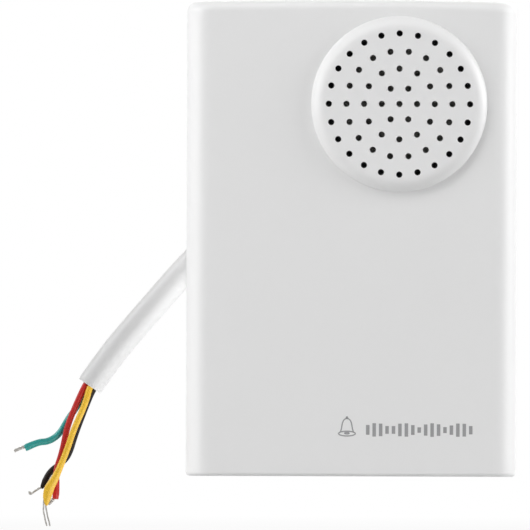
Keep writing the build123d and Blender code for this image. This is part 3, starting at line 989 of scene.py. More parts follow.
class Pattern(Graph):
    """A Geometry Nodes tree with named inputs, which ends in real faces and one material."""

    def __init__(self, name: str, inputs: Mapping[str, str]) -> None:
        """Makes the tree's inputs and its output.

        Args:
            name: The tree's name.
            inputs: Each input's name and its socket type.
        """
        super().__init__(bpy.data.node_groups.new(name, "GeometryNodeTree"))
        face = self.tree.interface
        face.new_socket("Geometry", in_out="OUTPUT", socket_type="NodeSocketGeometry")
        face.new_socket("Geometry", in_out="INPUT", socket_type="NodeSocketGeometry")
        self.names = {}
        for label, kind in {**inputs, "Finish": "NodeSocketMaterial"}.items():
            socket = face.new_socket(label, in_out="INPUT", socket_type=kind)
            self.names[label] = socket.identifier
        self.start = self.add("NodeGroupInput")

    def given(self, label: str) -> bpy.types.NodeSocket:
        """The socket of a named input."""
        return self.start.outputs[label]

    def number(self, label: str) -> Value:
        """A named input as a number to reckon with."""
        return Value(self, self.given(label))

    def end(self, geometry: bpy.types.NodeSocket) -> None:
        """Closes the tree: instances become faces and take the finish.

        Args:
            geometry: What the tree has made.
        """
        faces = self.add("GeometryNodeRealizeInstances", None, {0: geometry}).outputs[0]
        values = {"Geometry": faces, "Material": self.given("Finish")}
        dressed = self.add("GeometryNodeSetMaterial", None, values).outputs[0]
        self.add("NodeGroupOutput", None, {0: dressed})

    def grow(self, host: bpy.types.Object, values: Mapping[str, Any], finish: str) -> bpy.types.Mesh:
        """Runs the tree on an object, which is used up.

        Args:
            host: The object that carries the points or lines.
            values: The named inputs' values.
            finish: The finish's name.

        Returns:
            The mesh that it makes.
        """
        modifier = host.modifiers.new("pattern", "NODES")
        modifier.node_group = self.tree
        for label, value in {**values, "Finish": FINISHES[finish].material()}.items():
            modifier[self.names[label]] = value
        return evaluated(host)


def point_host(name: str, places: Sequence[Point]) -> bpy.types.Object:
    """An object whose mesh is loose points.

    Args:
        name: Its name.
        places: The points.

    Returns:
        The object.
    """
    mesh = bpy.data.meshes.new(name)
    mesh.from_pydata([tuple(place) for place in places], [], [])
    return linked(name, mesh)


def line_host(name: str, lines: Sequence[Sequence[Point]], closed: Sequence[bool]) -> bpy.types.Object:
    """An object whose curve is straight runs through points.

    Args:
        name: Its name.
        lines: Each line's points.
        closed: Whether each line returns to its start.

    Returns:
        The object.
    """
    data = bpy.data.curves.new(name, "CURVE")
    data.dimensions = "3D"
    for points, returns in zip(lines, closed):
        line = data.splines.new("POLY")
        line.points.add(len(points) - 1)
        for point, place in zip(line.points, points):
            point.co = (*place, 1.0)
        line.use_cyclic_u = returns
    return linked(name, data)


class FixingPattern(Pattern):
    """Puts one fixing on each point."""

    def __init__(self) -> None:
        """Builds the tree."""
        super().__init__("fixings", {"Fixing": "NodeSocketObject", "Turn": "NodeSocketFloat"})
        one = self.add("GeometryNodeObjectInfo", None, {"Object": self.given("Fixing")})
        index = self.add("GeometryNodeInputIndex").outputs[0]
        turn = Value(self, index) * self.number("Turn")
        spin = self.add("ShaderNodeCombineXYZ", None, {1: turn}).outputs[0]
        values = {
            "Points": self.given("Geometry"),
            "Instance": one.outputs["Geometry"],
            "Rotation": spin,
        }
        self.end(self.add("GeometryNodeInstanceOnPoints", None, values).outputs[0])


class LevelPattern(Pattern):
    """A row of upright bars whose heights swell and shrink like a sound's level."""

    def __init__(self) -> None:
        """Builds the tree."""
        sizes = ("Pitch", "Bar width", "Tallest", "Shortest", "Film", "Swell", "First swell")
        super().__init__("levels", {"Bars": "NodeSocketInt", **{s: "NodeSocketFloat" for s in sizes}})
        step = self.add("ShaderNodeCombineXYZ", None, {0: self.number("Pitch")}).outputs[0]
        row = self.add("GeometryNodeMeshLine", None, {"Count": self.given("Bars"), "Offset": step})
        index = Value(self, self.add("GeometryNodeInputIndex").outputs[0])
        swell = abs((index * self.number("Swell") + self.number("First swell")).sine())
        height = self.number("Shortest") + swell * (self.number("Tallest") - self.number("Shortest"))
        size = self.add(
            "ShaderNodeCombineXYZ", None,
            {0: self.number("Bar width"), 1: self.number("Film"), 2: height},
        ).outputs[0]
        bar = self.add("GeometryNodeMeshCube", None, {"Size": (1.0, 1.0, 1.0)}).outputs[0]
        values = {"Points": row.outputs[0], "Instance": bar, "Scale": size}
        bars = self.add("GeometryNodeInstanceOnPoints", None, values).outputs[0]
        self.end(bars)


class StrokePattern(Pattern):
    """A flat stroke of ink along each line."""

    def __init__(self) -> None:
        """Builds the tree."""
        super().__init__("strokes", {"Stroke": "NodeSocketFloat", "Film": "NodeSocketFloat"})
        profile = self.add(
            "GeometryNodeCurvePrimitiveQuadrilateral", None,
            {"Width": self.given("Film"), "Height": self.given("Stroke")},
        ).outputs[0]
        values = {"Curve": self.given("Geometry"), "Profile Curve": profile, "Fill Caps": True}
        self.end(self.add("GeometryNodeCurveToMesh", None, values).outputs[0])


class StrandPattern(Pattern):
    """Twists round strands along each line."""

    def __init__(self) -> None:
        """Builds the tree."""
        sizes = ("Strand radius", "Lay radius", "Twist")
        super().__init__("strands", {"Strands": "NodeSocketInt", **{s: "NodeSocketFloat" for s in sizes}})
        along = Value(self, self.add("GeometryNodeSplineParameter").outputs["Length"])
        values = {"Curve": self.given("Geometry"), "Tilt": along * self.number("Twist")}
        twisted = self.add("GeometryNodeSetCurveTilt", None, values).outputs[0]
        seats = self.add(
            "GeometryNodeMeshCircle", None,
            {"Vertices": self.given("Strands"), "Radius": self.given("Lay radius")},
        ).outputs[0]
        wire = self.add(
            "GeometryNodeCurvePrimitiveCircle", None,
            {"Resolution": 8, "Radius": self.given("Strand radius")},
        ).outputs[0]
        values = {"Points": seats, "Instance": wire}
        bunch = self.add("GeometryNodeInstanceOnPoints", None, values).outputs[0]
        profile = self.add("GeometryNodeRealizeInstances", None, {0: bunch}).outputs[0]
        values = {"Curve": twisted, "Profile Curve": profile, "Fill Caps": True}
        self.end(self.add("GeometryNodeCurveToMesh", None, values).outputs[0])


class WindingPattern(Pattern):
    """Close turns of wire about an axis along Y, from the point given."""

    def __init__(self) -> None:
        """Builds the tree."""
        sizes = ("Turns", "Radius", "Height", "Wire radius")
        super().__init__("winding", {s: "NodeSocketFloat" for s in sizes})
        coil = self.add(
            "GeometryNodeCurveSpiral", None,
            {
                "Resolution": 40,
                "Rotations": self.given("Turns"),
                "Start Radius": self.given("Radius"),
                "End Radius": self.given("Radius"),
                "Height": self.given("Height"),
            },
        ).outputs[0]
        wire = self.add(
            "GeometryNodeCurvePrimitiveCircle", None,
            {"Resolution": 6, "Radius": self.given("Wire radius")},
        ).outputs[0]
        values = {"Curve": coil, "Profile Curve": wire, "Fill Caps": True}
        turns = self.add("GeometryNodeCurveToMesh", None, values).outputs[0]
        values = {
            "Points": self.given("Geometry"),
            "Instance": turns,
            "Rotation": (math.radians(90), 0.0, 0.0),
        }
        self.end(self.add("GeometryNodeInstanceOnPoints", None, values).outputs[0])


# Sub-assemblies


@dataclass
class PanScrew:
    """A pan-head screw with a cross recess and a cut thread."""

    head_r: float
    head_h: float
    shank_r: float
    length: float
    drive: Drive
    pitch: float
    turn: float = 0.83
    neck: float = 0.5 * MM
    thread_share: float = 0.2
    crown_share: float = 0.62
    crown_steps: int = 5
    recess_reach_share: float = 0.52
    recess_half_share: float = 0.11
    recess_depth_share: float = 0.68
    recess_above: float = 0.2 * MM
    sides: int = 28

    def outline(self) -> list[Flat]:
        """Radius and height from the head's seat, from the point of the shank to the head's top."""
        root_r = self.shank_r - self.shank_r * self.thread_share
        points = [(0.0, -self.length), (self.shank_r * 0.45, -self.length + self.shank_r * 0.6)]
        turns = int((self.length - self.shank_r * 1.4) / self.pitch)
        for k in range(turns):
            low = -self.length + self.shank_r * 0.8 + k * self.pitch
            points += [(root_r, low), (self.shank_r, low + self.pitch * 0.5)]
        points += [(root_r, -self.neck), (root_r, 0.0), (self.head_r, 0.0)]
        crown = self.head_h * self.crown_share
        for k in range(self.crown_steps + 1):
            turn = math.radians(90 * k / self.crown_steps)
            radius = self.head_r * (0.55 + 0.45 * math.cos(turn))
            points.append((radius, self.head_h - crown + crown * math.sin(turn)))
        points.append((0.0, self.head_h))
        return points

    def mesh(self) -> bpy.types.Mesh:
        """One screw at the origin, along Y."""
        build = bmesh.new()
        outline = self.outline()
        tip = build.verts.new((0.0, outline[0][1], 0.0))
        top = build.verts.new((0.0, outline[-1][1], 0.0))
        rings = [
            [build.verts.new((radius * c, height, radius * s)) for c, s in ring(self.sides)]
            for radius, height in outline[1:-1]
        ]
        for k in range(self.sides):
            j = (k + 1) % self.sides
            build.faces.new((tip, rings[0][k], rings[0][j]))
            build.faces.new((top, rings[-1][j], rings[-1][k]))
            for low, high in zip(rings, rings[1:]):
                build.faces.new((low[k], low[j], high[j], high[k]))
        return closed_mesh("screw", build)

    def recess(self) -> bpy.types.Object:
        """The cutter for the cross recess: two crossed wedges that narrow downwards."""
        build = bmesh.new()
        reach, half = self.head_r * self.recess_reach_share, self.head_r * self.recess_half_share
        low = self.head_h - self.head_h * self.recess_depth_share
        high = self.head_h + self.recess_above
        for turned in (False, True):
            corners = []
            for level, share in ((low, 0.45), (high, 1.0)):
                for x, z in ((-reach, -half), (reach, -half), (reach, half), (-reach, half)):
                    a, b = x * share, z * (0.6 + 0.4 * share)
                    corners.append(build.verts.new((b, level, a) if turned else (a, level, b)))
            for quad in ((0, 1, 2, 3), (4, 5, 6, 7), (0, 1, 5, 4), (1, 2, 6, 5), (2, 3, 7, 6), (3, 0, 4, 7)):
                build.faces.new([corners[q] for q in quad])
        return linked("recess", closed_mesh("recess", build))

    def build(self, name: str, places: Sequence[Flat], seat_y: float, node: str) -> None:
        """Puts the screws in their holes.

        Args:
            name: The piece's name.
            places: Each screw's x and z.
            seat_y: The plane that the heads bear on.
            node: The CAD node that they stand for.
        """
        one = linked("screw", self.mesh())
        cutter = self.recess()
        cut = one.modifiers.new("recess", "BOOLEAN")
        cut.operation = "DIFFERENCE"
        cut.solver = "EXACT"
        cut.use_self = True
        cut.object = cutter
        mesh = evaluated(one)
        bpy.data.objects.remove(cutter)
        if self.drive is Drive.TO_FRONT:
            mesh.transform(Matrix.Rotation(math.pi, 4, "X"))
        template = linked("screw", mesh)
        host = point_host(name, [(x, seat_y, z) for x, z in places])
        grown = FixingPattern().grow(host, {"Fixing": template, "Turn": self.turn}, "zinc_steel")
        bpy.data.objects.remove(template)
        made = piece(name, grown, sharp=40.0)
        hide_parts(node)
        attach(made, Body.HOUSING.value)
        log.info("%s: %d screws", name, len(places))


@dataclass
class Housing:
    """The two shells, the print on the front and the screws from behind."""

    front_y: float = -25.0 * MM
    film: float = 0.03 * MM
    bell_centre: Flat = (-0.95 * MM, -45.35 * MM)
    bell_size: Flat = (4.1 * MM, 4.8 * MM)
    stroke: float = 0.3 * MM
    bars_from: Flat = (4.1 * MM, -46.2 * MM)
    bars: int = 17
    bar_pitch: float = 1.56 * MM
    bar_w: float = 0.85 * MM
    tallest: float = 3.3 * MM
    shortest: float = 1.1 * MM
    swell: float = 0.72
    first_swell: float = 0.62
    screw_x: float = 32.5 * MM
    screw_z: float = 50 * MM
    screw_seat_y: float = -4.6 * MM

    def bell_lines(self) -> list[list[Flat]]:
        """The bell sign's lines, from its own middle, for a bell one unit wide and high."""
        side = [
            (0.385, -0.29), (0.33, -0.14), (0.295, 0.04), (0.26, 0.18), (0.2, 0.3), (0.1, 0.375),
            (0.0, 0.395),
        ]
        body = side + [(-x, z) for x, z in reversed(side[:-1])]
        mouth, clapper, knob = (0.5, 0.12, -0.37), (0.14, 0.035, -0.35), (0.035, 0.03, 0.445)
        ovals = [
            [(wide * c, middle + high * s) for c, s in ring(24, 0.25)]
            for wide, high, middle in (mouth, clapper, knob)
        ]
        return [body, *ovals]

    def print_bell(self) -> bpy.types.Object:
        """Prints the bell sign on the front."""
        y = self.front_y - self.film / 2
        (middle_x, middle_z), (wide, high) = self.bell_centre, self.bell_size
        lines = [
            [(middle_x + x * wide, y, middle_z + z * high) for x, z in line]
            for line in self.bell_lines()
        ]
        host = line_host("bell_lines", lines, (False, True, True, True))
        values = {"Stroke": self.stroke, "Film": self.film}
        return piece("printed_bell", StrokePattern().grow(host, values, "print_grey"))

    def print_levels(self) -> bpy.types.Object:
        """Prints the row of sound level bars beside the bell."""
        host = point_host("levels", [(0.0, 0.0, 0.0)])
        values = {
            "Bars": self.bars, "Pitch": self.bar_pitch, "Bar width": self.bar_w,
            "Tallest": self.tallest, "Shortest": self.shortest, "Film": self.film,
            "Swell": self.swell, "First swell": self.first_swell,
        }
        mesh = LevelPattern().grow(host, values, "print_grey")
        start = Vector((self.bars_from[0], self.front_y - self.film / 2, self.bars_from[1]))
        mesh.transform(Matrix.Translation(start))
        return piece("printed_levels", mesh)

    def build(self) -> None:
        """Makes the housing's own pieces."""
        for printed in (self.print_bell(), self.print_levels()):
            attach(printed, Body.HOUSING.value)
            log.info("%s printed on the front", printed.name)
        screw = PanScrew(
            head_r=2.8 * MM, head_h=1.9 * MM, shank_r=1.45 * MM, length=11.0 * MM,
            drive=Drive.TO_WALL, pitch=0.8 * MM,
        )
        places = [(x, z) for x in (-self.screw_x, self.screw_x) for z in (-self.screw_z, self.screw_z)]
        screw.build("case_screws", places, self.screw_seat_y, "housing_screws")


@dataclass
class Loudspeaker:
    """The cloth surround and spider, built as fixed shapes though the real ones flex, the coil's turns and
    the clamp screws.
    """

    centre: Flat = (11.5 * MM, 32.8 * MM)
    cone_rim_w: float = 1.05 * MM
    cone_r: float = 15.3 * MM
    flange_r: float = 17.0 * MM
    lip_r: float = 18.38 * MM
    flange_y: float = -22.2 * MM
    rim_y: float = -21.5 * MM
    cloth: float = 0.24 * MM
    roll_gap: float = 0.15 * MM
    glue_step: float = 0.1 * MM
    roll_steps: int = 12
    surround_blend: Flat = (-22.25 * MM, -21.8 * MM)
    hub_w: float = 0.9 * MM
    hub_r: float = 4.37 * MM
    shelf_r: float = 11.1 * MM
    shelf_lip_r: float = 12.9 * MM
    hub_y: float = -17.75 * MM
    shelf_y: float = -16.95 * MM
    rolls: int = 3
    wave: float = 0.32 * MM
    wave_fade: float = 0.12
    wave_steps: int = 40
    spider_blend: Flat = (-17.1 * MM, -17.62 * MM)
    coil_r: float = 4.49 * MM
    coil_y: float = -12.06 * MM
    coil_h: float = 2.58 * MM
    coil_turns: float = 22.0
    wire_r: float = 0.055 * MM
    clamp_r: float = 22.6 * MM
    clamp_angles: tuple[float, ...] = (20.0, 140.0, 260.0)
    clamp_seat_y: float = -21.0 * MM

    def surround(self) -> bpy.types.Object:
        """The half roll between the cone and the flange."""
        gap = self.roll_gap
        middle = (self.cone_r + self.flange_r) / 2
        roll = (self.flange_r - self.cone_r) / 2 - gap
        line = [
            (self.cone_r - self.cone_rim_w, self.rim_y - gap),
            (self.cone_r - self.glue_step, self.rim_y - gap),
            (self.cone_r + gap, self.rim_y - gap * 2),
        ]
        for k in range(self.roll_steps + 1):
            turn = math.pi - math.pi * k / self.roll_steps
            line.append((middle + roll * math.cos(turn), self.flange_y - roll * math.sin(turn)))
        line += [(self.flange_r + self.glue_step, self.flange_y - gap), (self.lip_r, self.flange_y - gap)]
        cloth = lathe("surround", ribbon(line, self.cloth), self.centre, steps=96)
        return piece("surround_roll", cloth, "surround_cloth")

    def spider(self) -> bpy.types.Object:
        """The corrugated disc that centres the coil."""
        lip = self.hub_r + self.hub_w
        line = [(self.hub_r, self.hub_y), (lip, self.hub_y)]
        for k in range(1, self.wave_steps):
            share = k / self.wave_steps
            soft = min(1.0, share / self.wave_fade, (1 - share) / self.wave_fade)
            y = self.hub_y + (self.shelf_y - self.hub_y) * share
            y -= self.wave * math.cos(math.tau * self.rolls * share) * soft
            line.append((lip + (self.shelf_r - lip) * share, y))
        line += [(self.shelf_r, self.shelf_y), (self.shelf_lip_r, self.shelf_y)]
        cloth = lathe("spider", ribbon(line, self.cloth), self.centre, steps=72)
        return piece("centring_spider", cloth, "spider_cloth")

    def winding(self) -> bpy.types.Object:
        """The coil's turns."""
        host = point_host("coil", [(self.centre[0], self.coil_y, self.centre[1])])
        values = {
            "Turns": self.coil_turns, "Radius": self.coil_r,
            "Height": self.coil_h, "Wire radius": self.wire_r,
        }
        return piece("coil_turns", WindingPattern().grow(host, values, "copper"))

    def build(self) -> None:
        """Makes the loudspeaker's own pieces."""
        x, z = self.centre
        surround = self.surround()
        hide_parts("speaker_surround")
        spider = self.spider()
        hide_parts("spider")
        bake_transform(surround)
        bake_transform(spider)
        coil = self.winding()
        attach(coil, Body.DIAPHRAGM.value)
        log.info("loudspeaker cloth and coil made")
        turns = [math.radians(angle) for angle in self.clamp_angles]
        places = [(x + self.clamp_r * math.cos(turn), z + self.clamp_r * math.sin(turn)) for turn in turns]
        screw = PanScrew(
            head_r=1.9 * MM, head_h=1.3 * MM, shank_r=1.0 * MM, length=3.0 * MM,
            drive=Drive.TO_WALL, pitch=0.6 * MM,
        )
        screw.build("clamp_fixings", places, self.clamp_seat_y, "clamp_screws")


@dataclass
class CircuitBoard:
    """The board's screws and the two leads to the loudspeaker."""

    screw_places: tuple[Flat, ...] = (
        (-32.2 * MM, 17.8 * MM), (-32.2 * MM, 42.2 * MM), (-12.8 * MM, 42.2 * MM),
    )
    front_y: float = -8.6 * MM
    lead_r: float = 0.6 * MM
    lead_bore_r: float = 0.24 * MM
    leads: tuple[tuple[Point, ...], ...] = (
        ((-0.009, -0.0199, 0.0354), (-0.0093, -0.017, 0.035), (-0.0112, -0.0142, 0.0326),
         (-0.0124, -0.0122, 0.0298), (-0.0125, -0.0103, 0.028)),
        ((-0.009, -0.0199, 0.0302), (-0.0092, -0.017, 0.0299), (-0.0109, -0.014, 0.0282),
         (-0.0123, -0.0122, 0.026), (-0.0125, -0.0103, 0.0246)),
    )

    def build(self) -> None:
        """Makes the board's own pieces."""
        screw = PanScrew(
            head_r=1.9 * MM, head_h=1.4 * MM, shank_r=1.1 * MM, length=5.0 * MM,
            drive=Drive.TO_FRONT, pitch=0.7 * MM,
        )
        screw.build("board_fixings", self.screw_places, self.front_y, "board_screws")
        for k, (route, finish) in enumerate(zip(self.leads, ("pvc_red", "pvc_black"))):
            tube = Tube(spline(route), self.lead_r, sides=12, bore=self.lead_bore_r)
            lead = piece(f"speaker_lead_{k + 1}", tube.mesh("lead"), finish)
            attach(lead, Body.HOUSING.value)
            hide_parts("speaker_leads")
            log.info("%s made", lead.name)


@dataclass(frozen=True)
class Core:
    """One insulated core: its way beside the jacket's middle, and the copper that is bare beyond it.

    It starts at the board, keeps one shift from the jacket's route inside it, and ends in its tail.
    """

    name: str
    length: float
    shift: Point
    board_end: tuple[Point, ...]
    tail: tuple[Point, ...]
    flare: tuple[Point, ...]
    copper: tuple[tuple[Point, ...], ...]
    strands: int
    strand_r: float
    lay_r: float

    def route(self, jacket: Sequence[Point]) -> list[Point]:
        """The points that control the whole core.

        Args:
            jacket: The jacket's route.

        Returns:
            The points, from the board to the core's end.
        """
        inside = [tuple(a + b for a, b in zip(place, self.shift)) for place in jacket]
        return [*self.board_end, *inside, *self.tail]


@dataclass
class Cable:
    """The cable: a white jacket, four cores out of its mouth and their stripped ends."""

    jacket_r: float = 3.25 * MM
    bore_r: float = 2.1 * MM
    jacket_length: float = 57.9 * MM
    jacket_mouth: tuple[Point, ...] = ((0.0, 0.97, 0.97), (0.25 * MM, 1.0, 1.0))
    leaves_box: Point = (-0.0402, -0.0037, -0.0073)
    jacket_route: tuple[Point, ...] = (
        (-0.02586, -0.0074, 0.00755), (-0.03246, -0.00505, 0.00071), (-0.04044, -0.0037, -0.00756),
        (-0.0463, -0.0035, -0.0143), (-0.0534, -0.00355, -0.0225), (-0.0589, -0.00355, -0.0292),
        (-0.0635, -0.00355, -0.0359),
    )
    core_r: float = 0.75 * MM
    core_bore_r: float = 0.375 * MM
    twist: float = 900.0
    cores: tuple[Core, ...] = (
        Core(
            name="red",
            length=96.0 * MM,
            shift=(-0.00085, 0.0, 0.00074),
            board_end=((-0.024, -0.0095, 0.0159), (-0.02458, -0.00913, 0.01202)),
            tail=(
                (-0.06645, -0.0036, -0.0397), (-0.0689, -0.0036, -0.0456), (-0.0701, -0.0037, -0.052),
                (-0.0717, -0.0038, -0.0566), (-0.07135, -0.0037, -0.0603), (-0.07175, -0.0035, -0.0634),
            ),
            flare=((0.0, 1.0, 1.0), (1.2 * MM, 1.1, 1.12), (3.2 * MM, 1.0, 1.0)),
            copper=(((-0.0718, -0.0035, -0.0629), (-0.0725, -0.0035, -0.0638), (-0.0735, -0.0035, -0.0647)),),
            strands=7,
            strand_r=0.14 * MM,
            lay_r=0.32 * MM,
        ),
        Core(
            name="yellow",
            length=98.4 * MM,
            shift=(0.0, -0.00113, 0.0),
            board_end=((-0.0208, -0.0095, 0.0159), (-0.02258, -0.00941, 0.01164)),
            tail=(
                (-0.0643, -0.0051, -0.0397), (-0.0674, -0.0054, -0.0466), (-0.0688, -0.0056, -0.0512),
                (-0.0716, -0.0057, -0.0581), (-0.0738, -0.0056, -0.0616), (-0.0739, -0.0055, -0.065),
            ),
            flare=(
                (0.0, 0.4, 0.4), (0.8 * MM, 0.8, 0.85), (2.0 * MM, 1.0, 1.4), (3.9 * MM, 1.0, 1.62),
                (6.5 * MM, 1.0, 1.35), (9.0 * MM, 1.0, 1.1), (12.0 * MM, 1.0, 1.0),
            ),
            copper=(
                ((-0.0745, -0.0055, -0.0635), (-0.0747, -0.0055, -0.0658),
                 (-0.0744, -0.0053, -0.0676), (-0.0738, -0.0052, -0.07)),
                ((-0.0741, -0.0055, -0.0637), (-0.0740, -0.0055, -0.0658),
                 (-0.0736, -0.0054, -0.0676), (-0.0730, -0.0056, -0.07)),
            ),
            strands=3,
            strand_r=0.11 * MM,
            lay_r=0.1 * MM,
        ),
        Core(
            name="teal",
            length=93.3 * MM,
            shift=(0.0, 0.00113, 0.0),
            board_end=((-0.0176, -0.0095, 0.0159), (-0.02131, -0.00851, 0.01139)),
            tail=(
                (-0.0664, -0.0019, -0.0408), (-0.0687, -0.0017, -0.0439), (-0.0707, -0.0017, -0.0476),
                (-0.0734, -0.0019, -0.0495), (-0.0762, -0.0022, -0.0496), (-0.0792, -0.0024, -0.0511),
            ),
            flare=(
                (0.0, 1.05, 1.05), (0.6 * MM, 1.18, 1.18), (3.0 * MM, 1.08, 1.08),
                (14.0 * MM, 1.08, 1.08), (18.0 * MM, 1.0, 1.0),
            ),
            copper=(((-0.0789, -0.0024, -0.0506), (-0.0804, -0.0024, -0.0511), (-0.0818, -0.0025, -0.0518)),),
            strands=7,
            strand_r=0.14 * MM,
            lay_r=0.28 * MM,
        ),
        Core(
            name="black",
            length=100.5 * MM,
            shift=(0.00085, 0.0, -0.00074),
            board_end=((-0.0144, -0.0095, 0.0159), (-0.01883, -0.00893, 0.01017)),
            tail=(
                (-0.0641, -0.0034, -0.0401), (-0.067, -0.003, -0.0477), (-0.0684, -0.0024, -0.0526),
                (-0.0703, -0.0019, -0.0548), (-0.073, -0.0017, -0.0566), (-0.0746, -0.002, -0.0596),
                (-0.0751, -0.0021, -0.0609),
            ),
            flare=((0.0, 0.5, 0.45), (0.5 * MM, 0.7, 0.7), (2.0 * MM, 1.0, 1.0)),
            copper=(
                ((-0.07505, -0.0021, -0.0606), (-0.07595, -0.0021, -0.061), (-0.07695, -0.0023, -0.0616),
                 (-0.0776, -0.0024, -0.0623), (-0.0781, -0.0024, -0.0621), (-0.078, -0.0024, -0.0616)),
            ),
            strands=3,
            strand_r=0.15 * MM,
            lay_r=0.15 * MM,
        ),
    )

    def jacket(self) -> None:
        """The white jacket, cut square at its mouth."""
        line = spline(self.jacket_route, steps=20)
        tube = Tube(line, self.jacket_r, sides=48, bore=self.bore_r, shape=self.jacket_mouth)
        jacket = piece(JACKET_NAME, tube.mesh("jacket"), "jacket_white", sharp=50.0)
        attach(jacket, Body.HOUSING.value)
        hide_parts("cable_jacket")
        log.info("jacket: %.1f mm", self.jacket_length / MM)

    def bare_copper(self, core: Core) -> bpy.types.Object:
        """The twisted strands beyond a core's insulation."""
        lines = [[tuple(point) for point in spline(route, steps=8)] for route in core.copper]
        host = line_host("strands", lines, [False] * len(lines))
        values = {
            "Strands": core.strands, "Strand radius": core.strand_r,
            "Lay radius": core.lay_r, "Twist": self.twist,
        }
        copper = piece(COPPER_NAME + core.name, StrandPattern().grow(host, values, "tinned_copper"))
        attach(copper, Body.HOUSING.value)
        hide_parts("copper_ends")
        return copper

    def insulated(self, core: Core) -> None:
        """One core with its copper.

        Args:
            core: The core.
        """
        line = spline(core.route(self.jacket_route))
        tube = Tube(line, self.core_r, sides=20, bore=self.core_bore_r, shape=core.flare)
        finish = f"pvc_{core.name}"
        skin = piece(INSULATION_NAME + core.name, tube.mesh(core.name), finish, sharp=50.0)
        copper = self.bare_copper(core)
        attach(skin, Body.HOUSING.value)
        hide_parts(f"core_{core.name}")
        log.info("%s core: %.1f mm", core.name, core.length / MM)

    def build(self) -> None:
        """Makes the cable."""
        self.jacket()
        for core in self.cores:
            self.insulated(core)


# Studio


@dataclass(frozen=True)
class Softbox:
    """One large soft lamp, which lights either the box and floor or only the cable."""

    name: str
    place: Point
    size: Flat
    power: float
    aim: Point = (-0.01, -0.01, 0.0)
    for_cable: bool = False

    def keep_to(self, lamp: bpy.types.Object, cable: Sequence[bpy.types.Object]) -> None:
        """Limits what the lamp lights.

        Args:
            lamp: The lamp's object.
            cable: The cable's pieces.
        """
        group = bpy.data.collections.new(self.name)
        for obj in cable:
            group.objects.link(obj)
        lamp.light_linking.receiver_collection = group
        if self.for_cable:
            lamp.light_linking.blocker_collection = group
            return
        for entry in group.collection_objects:
            entry.light_linking.link_state = "EXCLUDE"

    def hang(self, cable: Sequence[bpy.types.Object]) -> None:
        """Puts the lamp in the scene.

        Args:
            cable: The cable's pieces, which have lamps of their own.
        """
        data = bpy.data.lights.new(self.name, "AREA")
        data.shape = "RECTANGLE"
        data.size, data.size_y = self.size
        data.energy = self.power
        lamp = linked(self.name, data)
        lamp.location = self.place
        way = Vector(self.aim) - Vector(self.place)
        lamp.rotation_euler = way.to_track_quat("-Z", "Y").to_euler()
        lamp.visible_camera = False
        self.keep_to(lamp, cable)


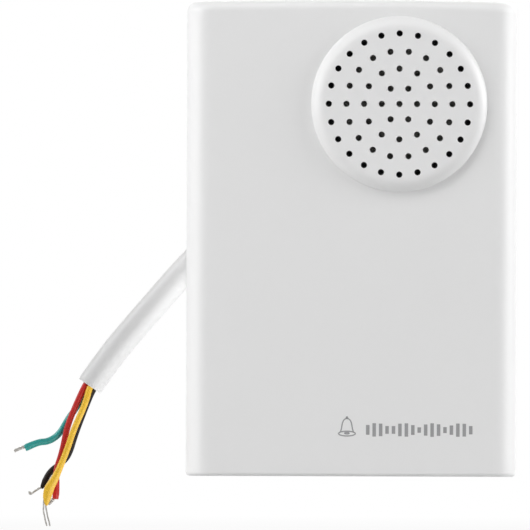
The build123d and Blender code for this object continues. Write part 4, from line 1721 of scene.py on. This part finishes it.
@dataclass
class Studio:
    """Floor, background, lamps and camera."""

    floor_z: float = -71.2 * MM
    floor_half: float = 9.0
    floor_grey: Colour = (0.67, 0.67, 0.67)
    floor_veil: float = 0.9
    floor_fade: Flat = (0.05, 0.42)
    ambient: float = 0.145
    pixel: float = 0.2424 * MM
    picture: int = 530
    box_centre: Flat = (351.4, 238.9)
    front_y: float = -25.0 * MM
    distance: float = 6.0
    sensor: float = 36.0
    roll: float = 0.2
    softboxes: tuple[Softbox, ...] = (
        Softbox("left_box", (-1.0, -0.1, 0.1), (0.9, 1.1), 4.8),
        Softbox("left_front_box", (-1.0, -0.6, 0.1), (0.7, 0.9), 5.0),
        Softbox("right_box", (1.0, -0.1, 0.1), (0.9, 1.1), 13.4),
        Softbox("top_box", (0.0, -0.08, 1.0), (1.0, 0.7), 0.8),
        Softbox("top_front_box", (0.0, -0.45, 1.0), (0.7, 0.4), 1.0),
        Softbox("high_box", (-0.25, -0.6, 1.0), (0.35, 0.35), 1.5),
        Softbox("key_box", (-0.65, -0.75, 0.8), (0.4, 0.4), 3.1),
        Softbox("back_box", (0.3, 1.3, 0.7), (1.2, 1.2), 7.0),
        Softbox("cable_key_box", (0.5, -1.0, -0.45), (0.4, 0.4), 3.6, CABLE_AIM, True),
        Softbox("cable_low_box", (1.0, -0.4, -0.7), (0.4, 0.4), 3.9, CABLE_AIM, True),
        Softbox("cable_rim_box", (-0.9, 0.0, 0.7), (0.4, 0.4), 7.0, CABLE_AIM, True),
    )

    def backdrop(self) -> None:
        """White for what the camera and gloss see, a plain grey level as light."""
        world = bpy.data.worlds.new("backdrop")
        bpy.context.scene.world = world
        world.use_nodes = True
        graph = Graph(world.node_tree)
        seen = graph.background_rays()
        level = seen + (1.0 - seen) * self.ambient
        sky = graph.add("ShaderNodeBackground", None, {0: (1.0, 1.0, 1.0, 1.0), 1: level})
        graph.add("ShaderNodeOutputWorld", None, {0: sky.outputs[0]})

    def floor(self) -> None:
        """A wide pale floor that keeps the shadow."""
        build = bmesh.new()
        bmesh.ops.create_grid(build, x_segments=1, y_segments=1, size=self.floor_half)
        bmesh.ops.translate(build, verts=build.verts, vec=(0, 0, self.floor_z))
        mesh = bpy.data.meshes.new("floor")
        build.to_mesh(mesh)
        build.free()
        surface = Surface("floor")
        seen = surface.background_rays()
        matt = surface.add("ShaderNodeBsdfDiffuse", None, {0: (*self.floor_grey, 1.0)})
        white = surface.add("ShaderNodeEmission", None, {0: (1.0, 1.0, 1.0, 1.0), 1: 1.0})
        x, y, _ = surface.axes()
        away = (x * x + y * y).root().ramp(*self.floor_fade)
        veil = self.floor_veil + away * (1.0 - self.floor_veil)
        values = {0: seen * veil, 1: matt.outputs[0], 2: white.outputs[0]}
        mixed = surface.add("ShaderNodeMixShader", None, values)
        surface.tree.links.new(mixed.outputs[0], surface.output.inputs[0])
        mesh.materials.append(surface.material)
        floor = linked("floor", mesh)

    def camera(self) -> None:
        """Looks straight at the front, framed as the photograph."""
        middle = self.picture / 2
        across = (middle - self.box_centre[0]) * self.pixel
        up = (self.box_centre[1] - middle) * self.pixel
        data = bpy.data.cameras.new("camera")
        data.sensor_width = self.sensor
        data.lens = self.sensor * self.distance / (self.picture * self.pixel)
        data.clip_start, data.clip_end = 0.01, 50.0
        camera = linked("camera", data)
        turn = math.radians(self.roll)
        right = Vector((math.cos(turn), 0.0, math.sin(turn)))
        above = Vector((-math.sin(turn), 0.0, math.cos(turn)))
        matrix = Matrix((right, above, Vector((0.0, -1.0, 0.0)))).transposed().to_4x4()
        matrix.translation = (across, self.front_y - self.distance, up)
        camera.matrix_world = matrix
        bpy.context.scene.camera = camera

    def build(self) -> None:
        """Sets up the studio."""
        settings = bpy.context.scene.view_settings
        settings.view_transform = "Standard"
        self.backdrop()
        self.floor()
        names = (JACKET_NAME, INSULATION_NAME, COPPER_NAME)
        cable = [obj for obj in bpy.data.objects if obj.name.startswith(names)]
        for box in self.softboxes:
            box.hang(cable)
        self.camera()
        log.info("studio ready with %d lamps", len(self.softboxes))


def dress_nodes(frame: Mapping[str, Any]) -> None:
    """Gives every carried-over node its finish.
    """
    slots = {part["node"]: part["material_slot"] for part in frame["record"]["subparts"]}
    for name, node in frame["nodes"].items():
        finish = FINISHES[NODE_FINISH.get(name, slots[name])].material()
        for slot in node.material_slots:
            slot.material = finish
        log.info("%s finished as %s", name, finish.name)


def main() -> None:
    """Builds the scene in order."""
    logging.basicConfig(level=logging.INFO, format="%(name)s: %(message)s")
    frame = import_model()
    dress_nodes(frame)
    for assembly in (Cable(), Housing(), Loudspeaker(), CircuitBoard()):
        assembly.build()
    Studio().build()


if __name__ == "__main__":
    main()
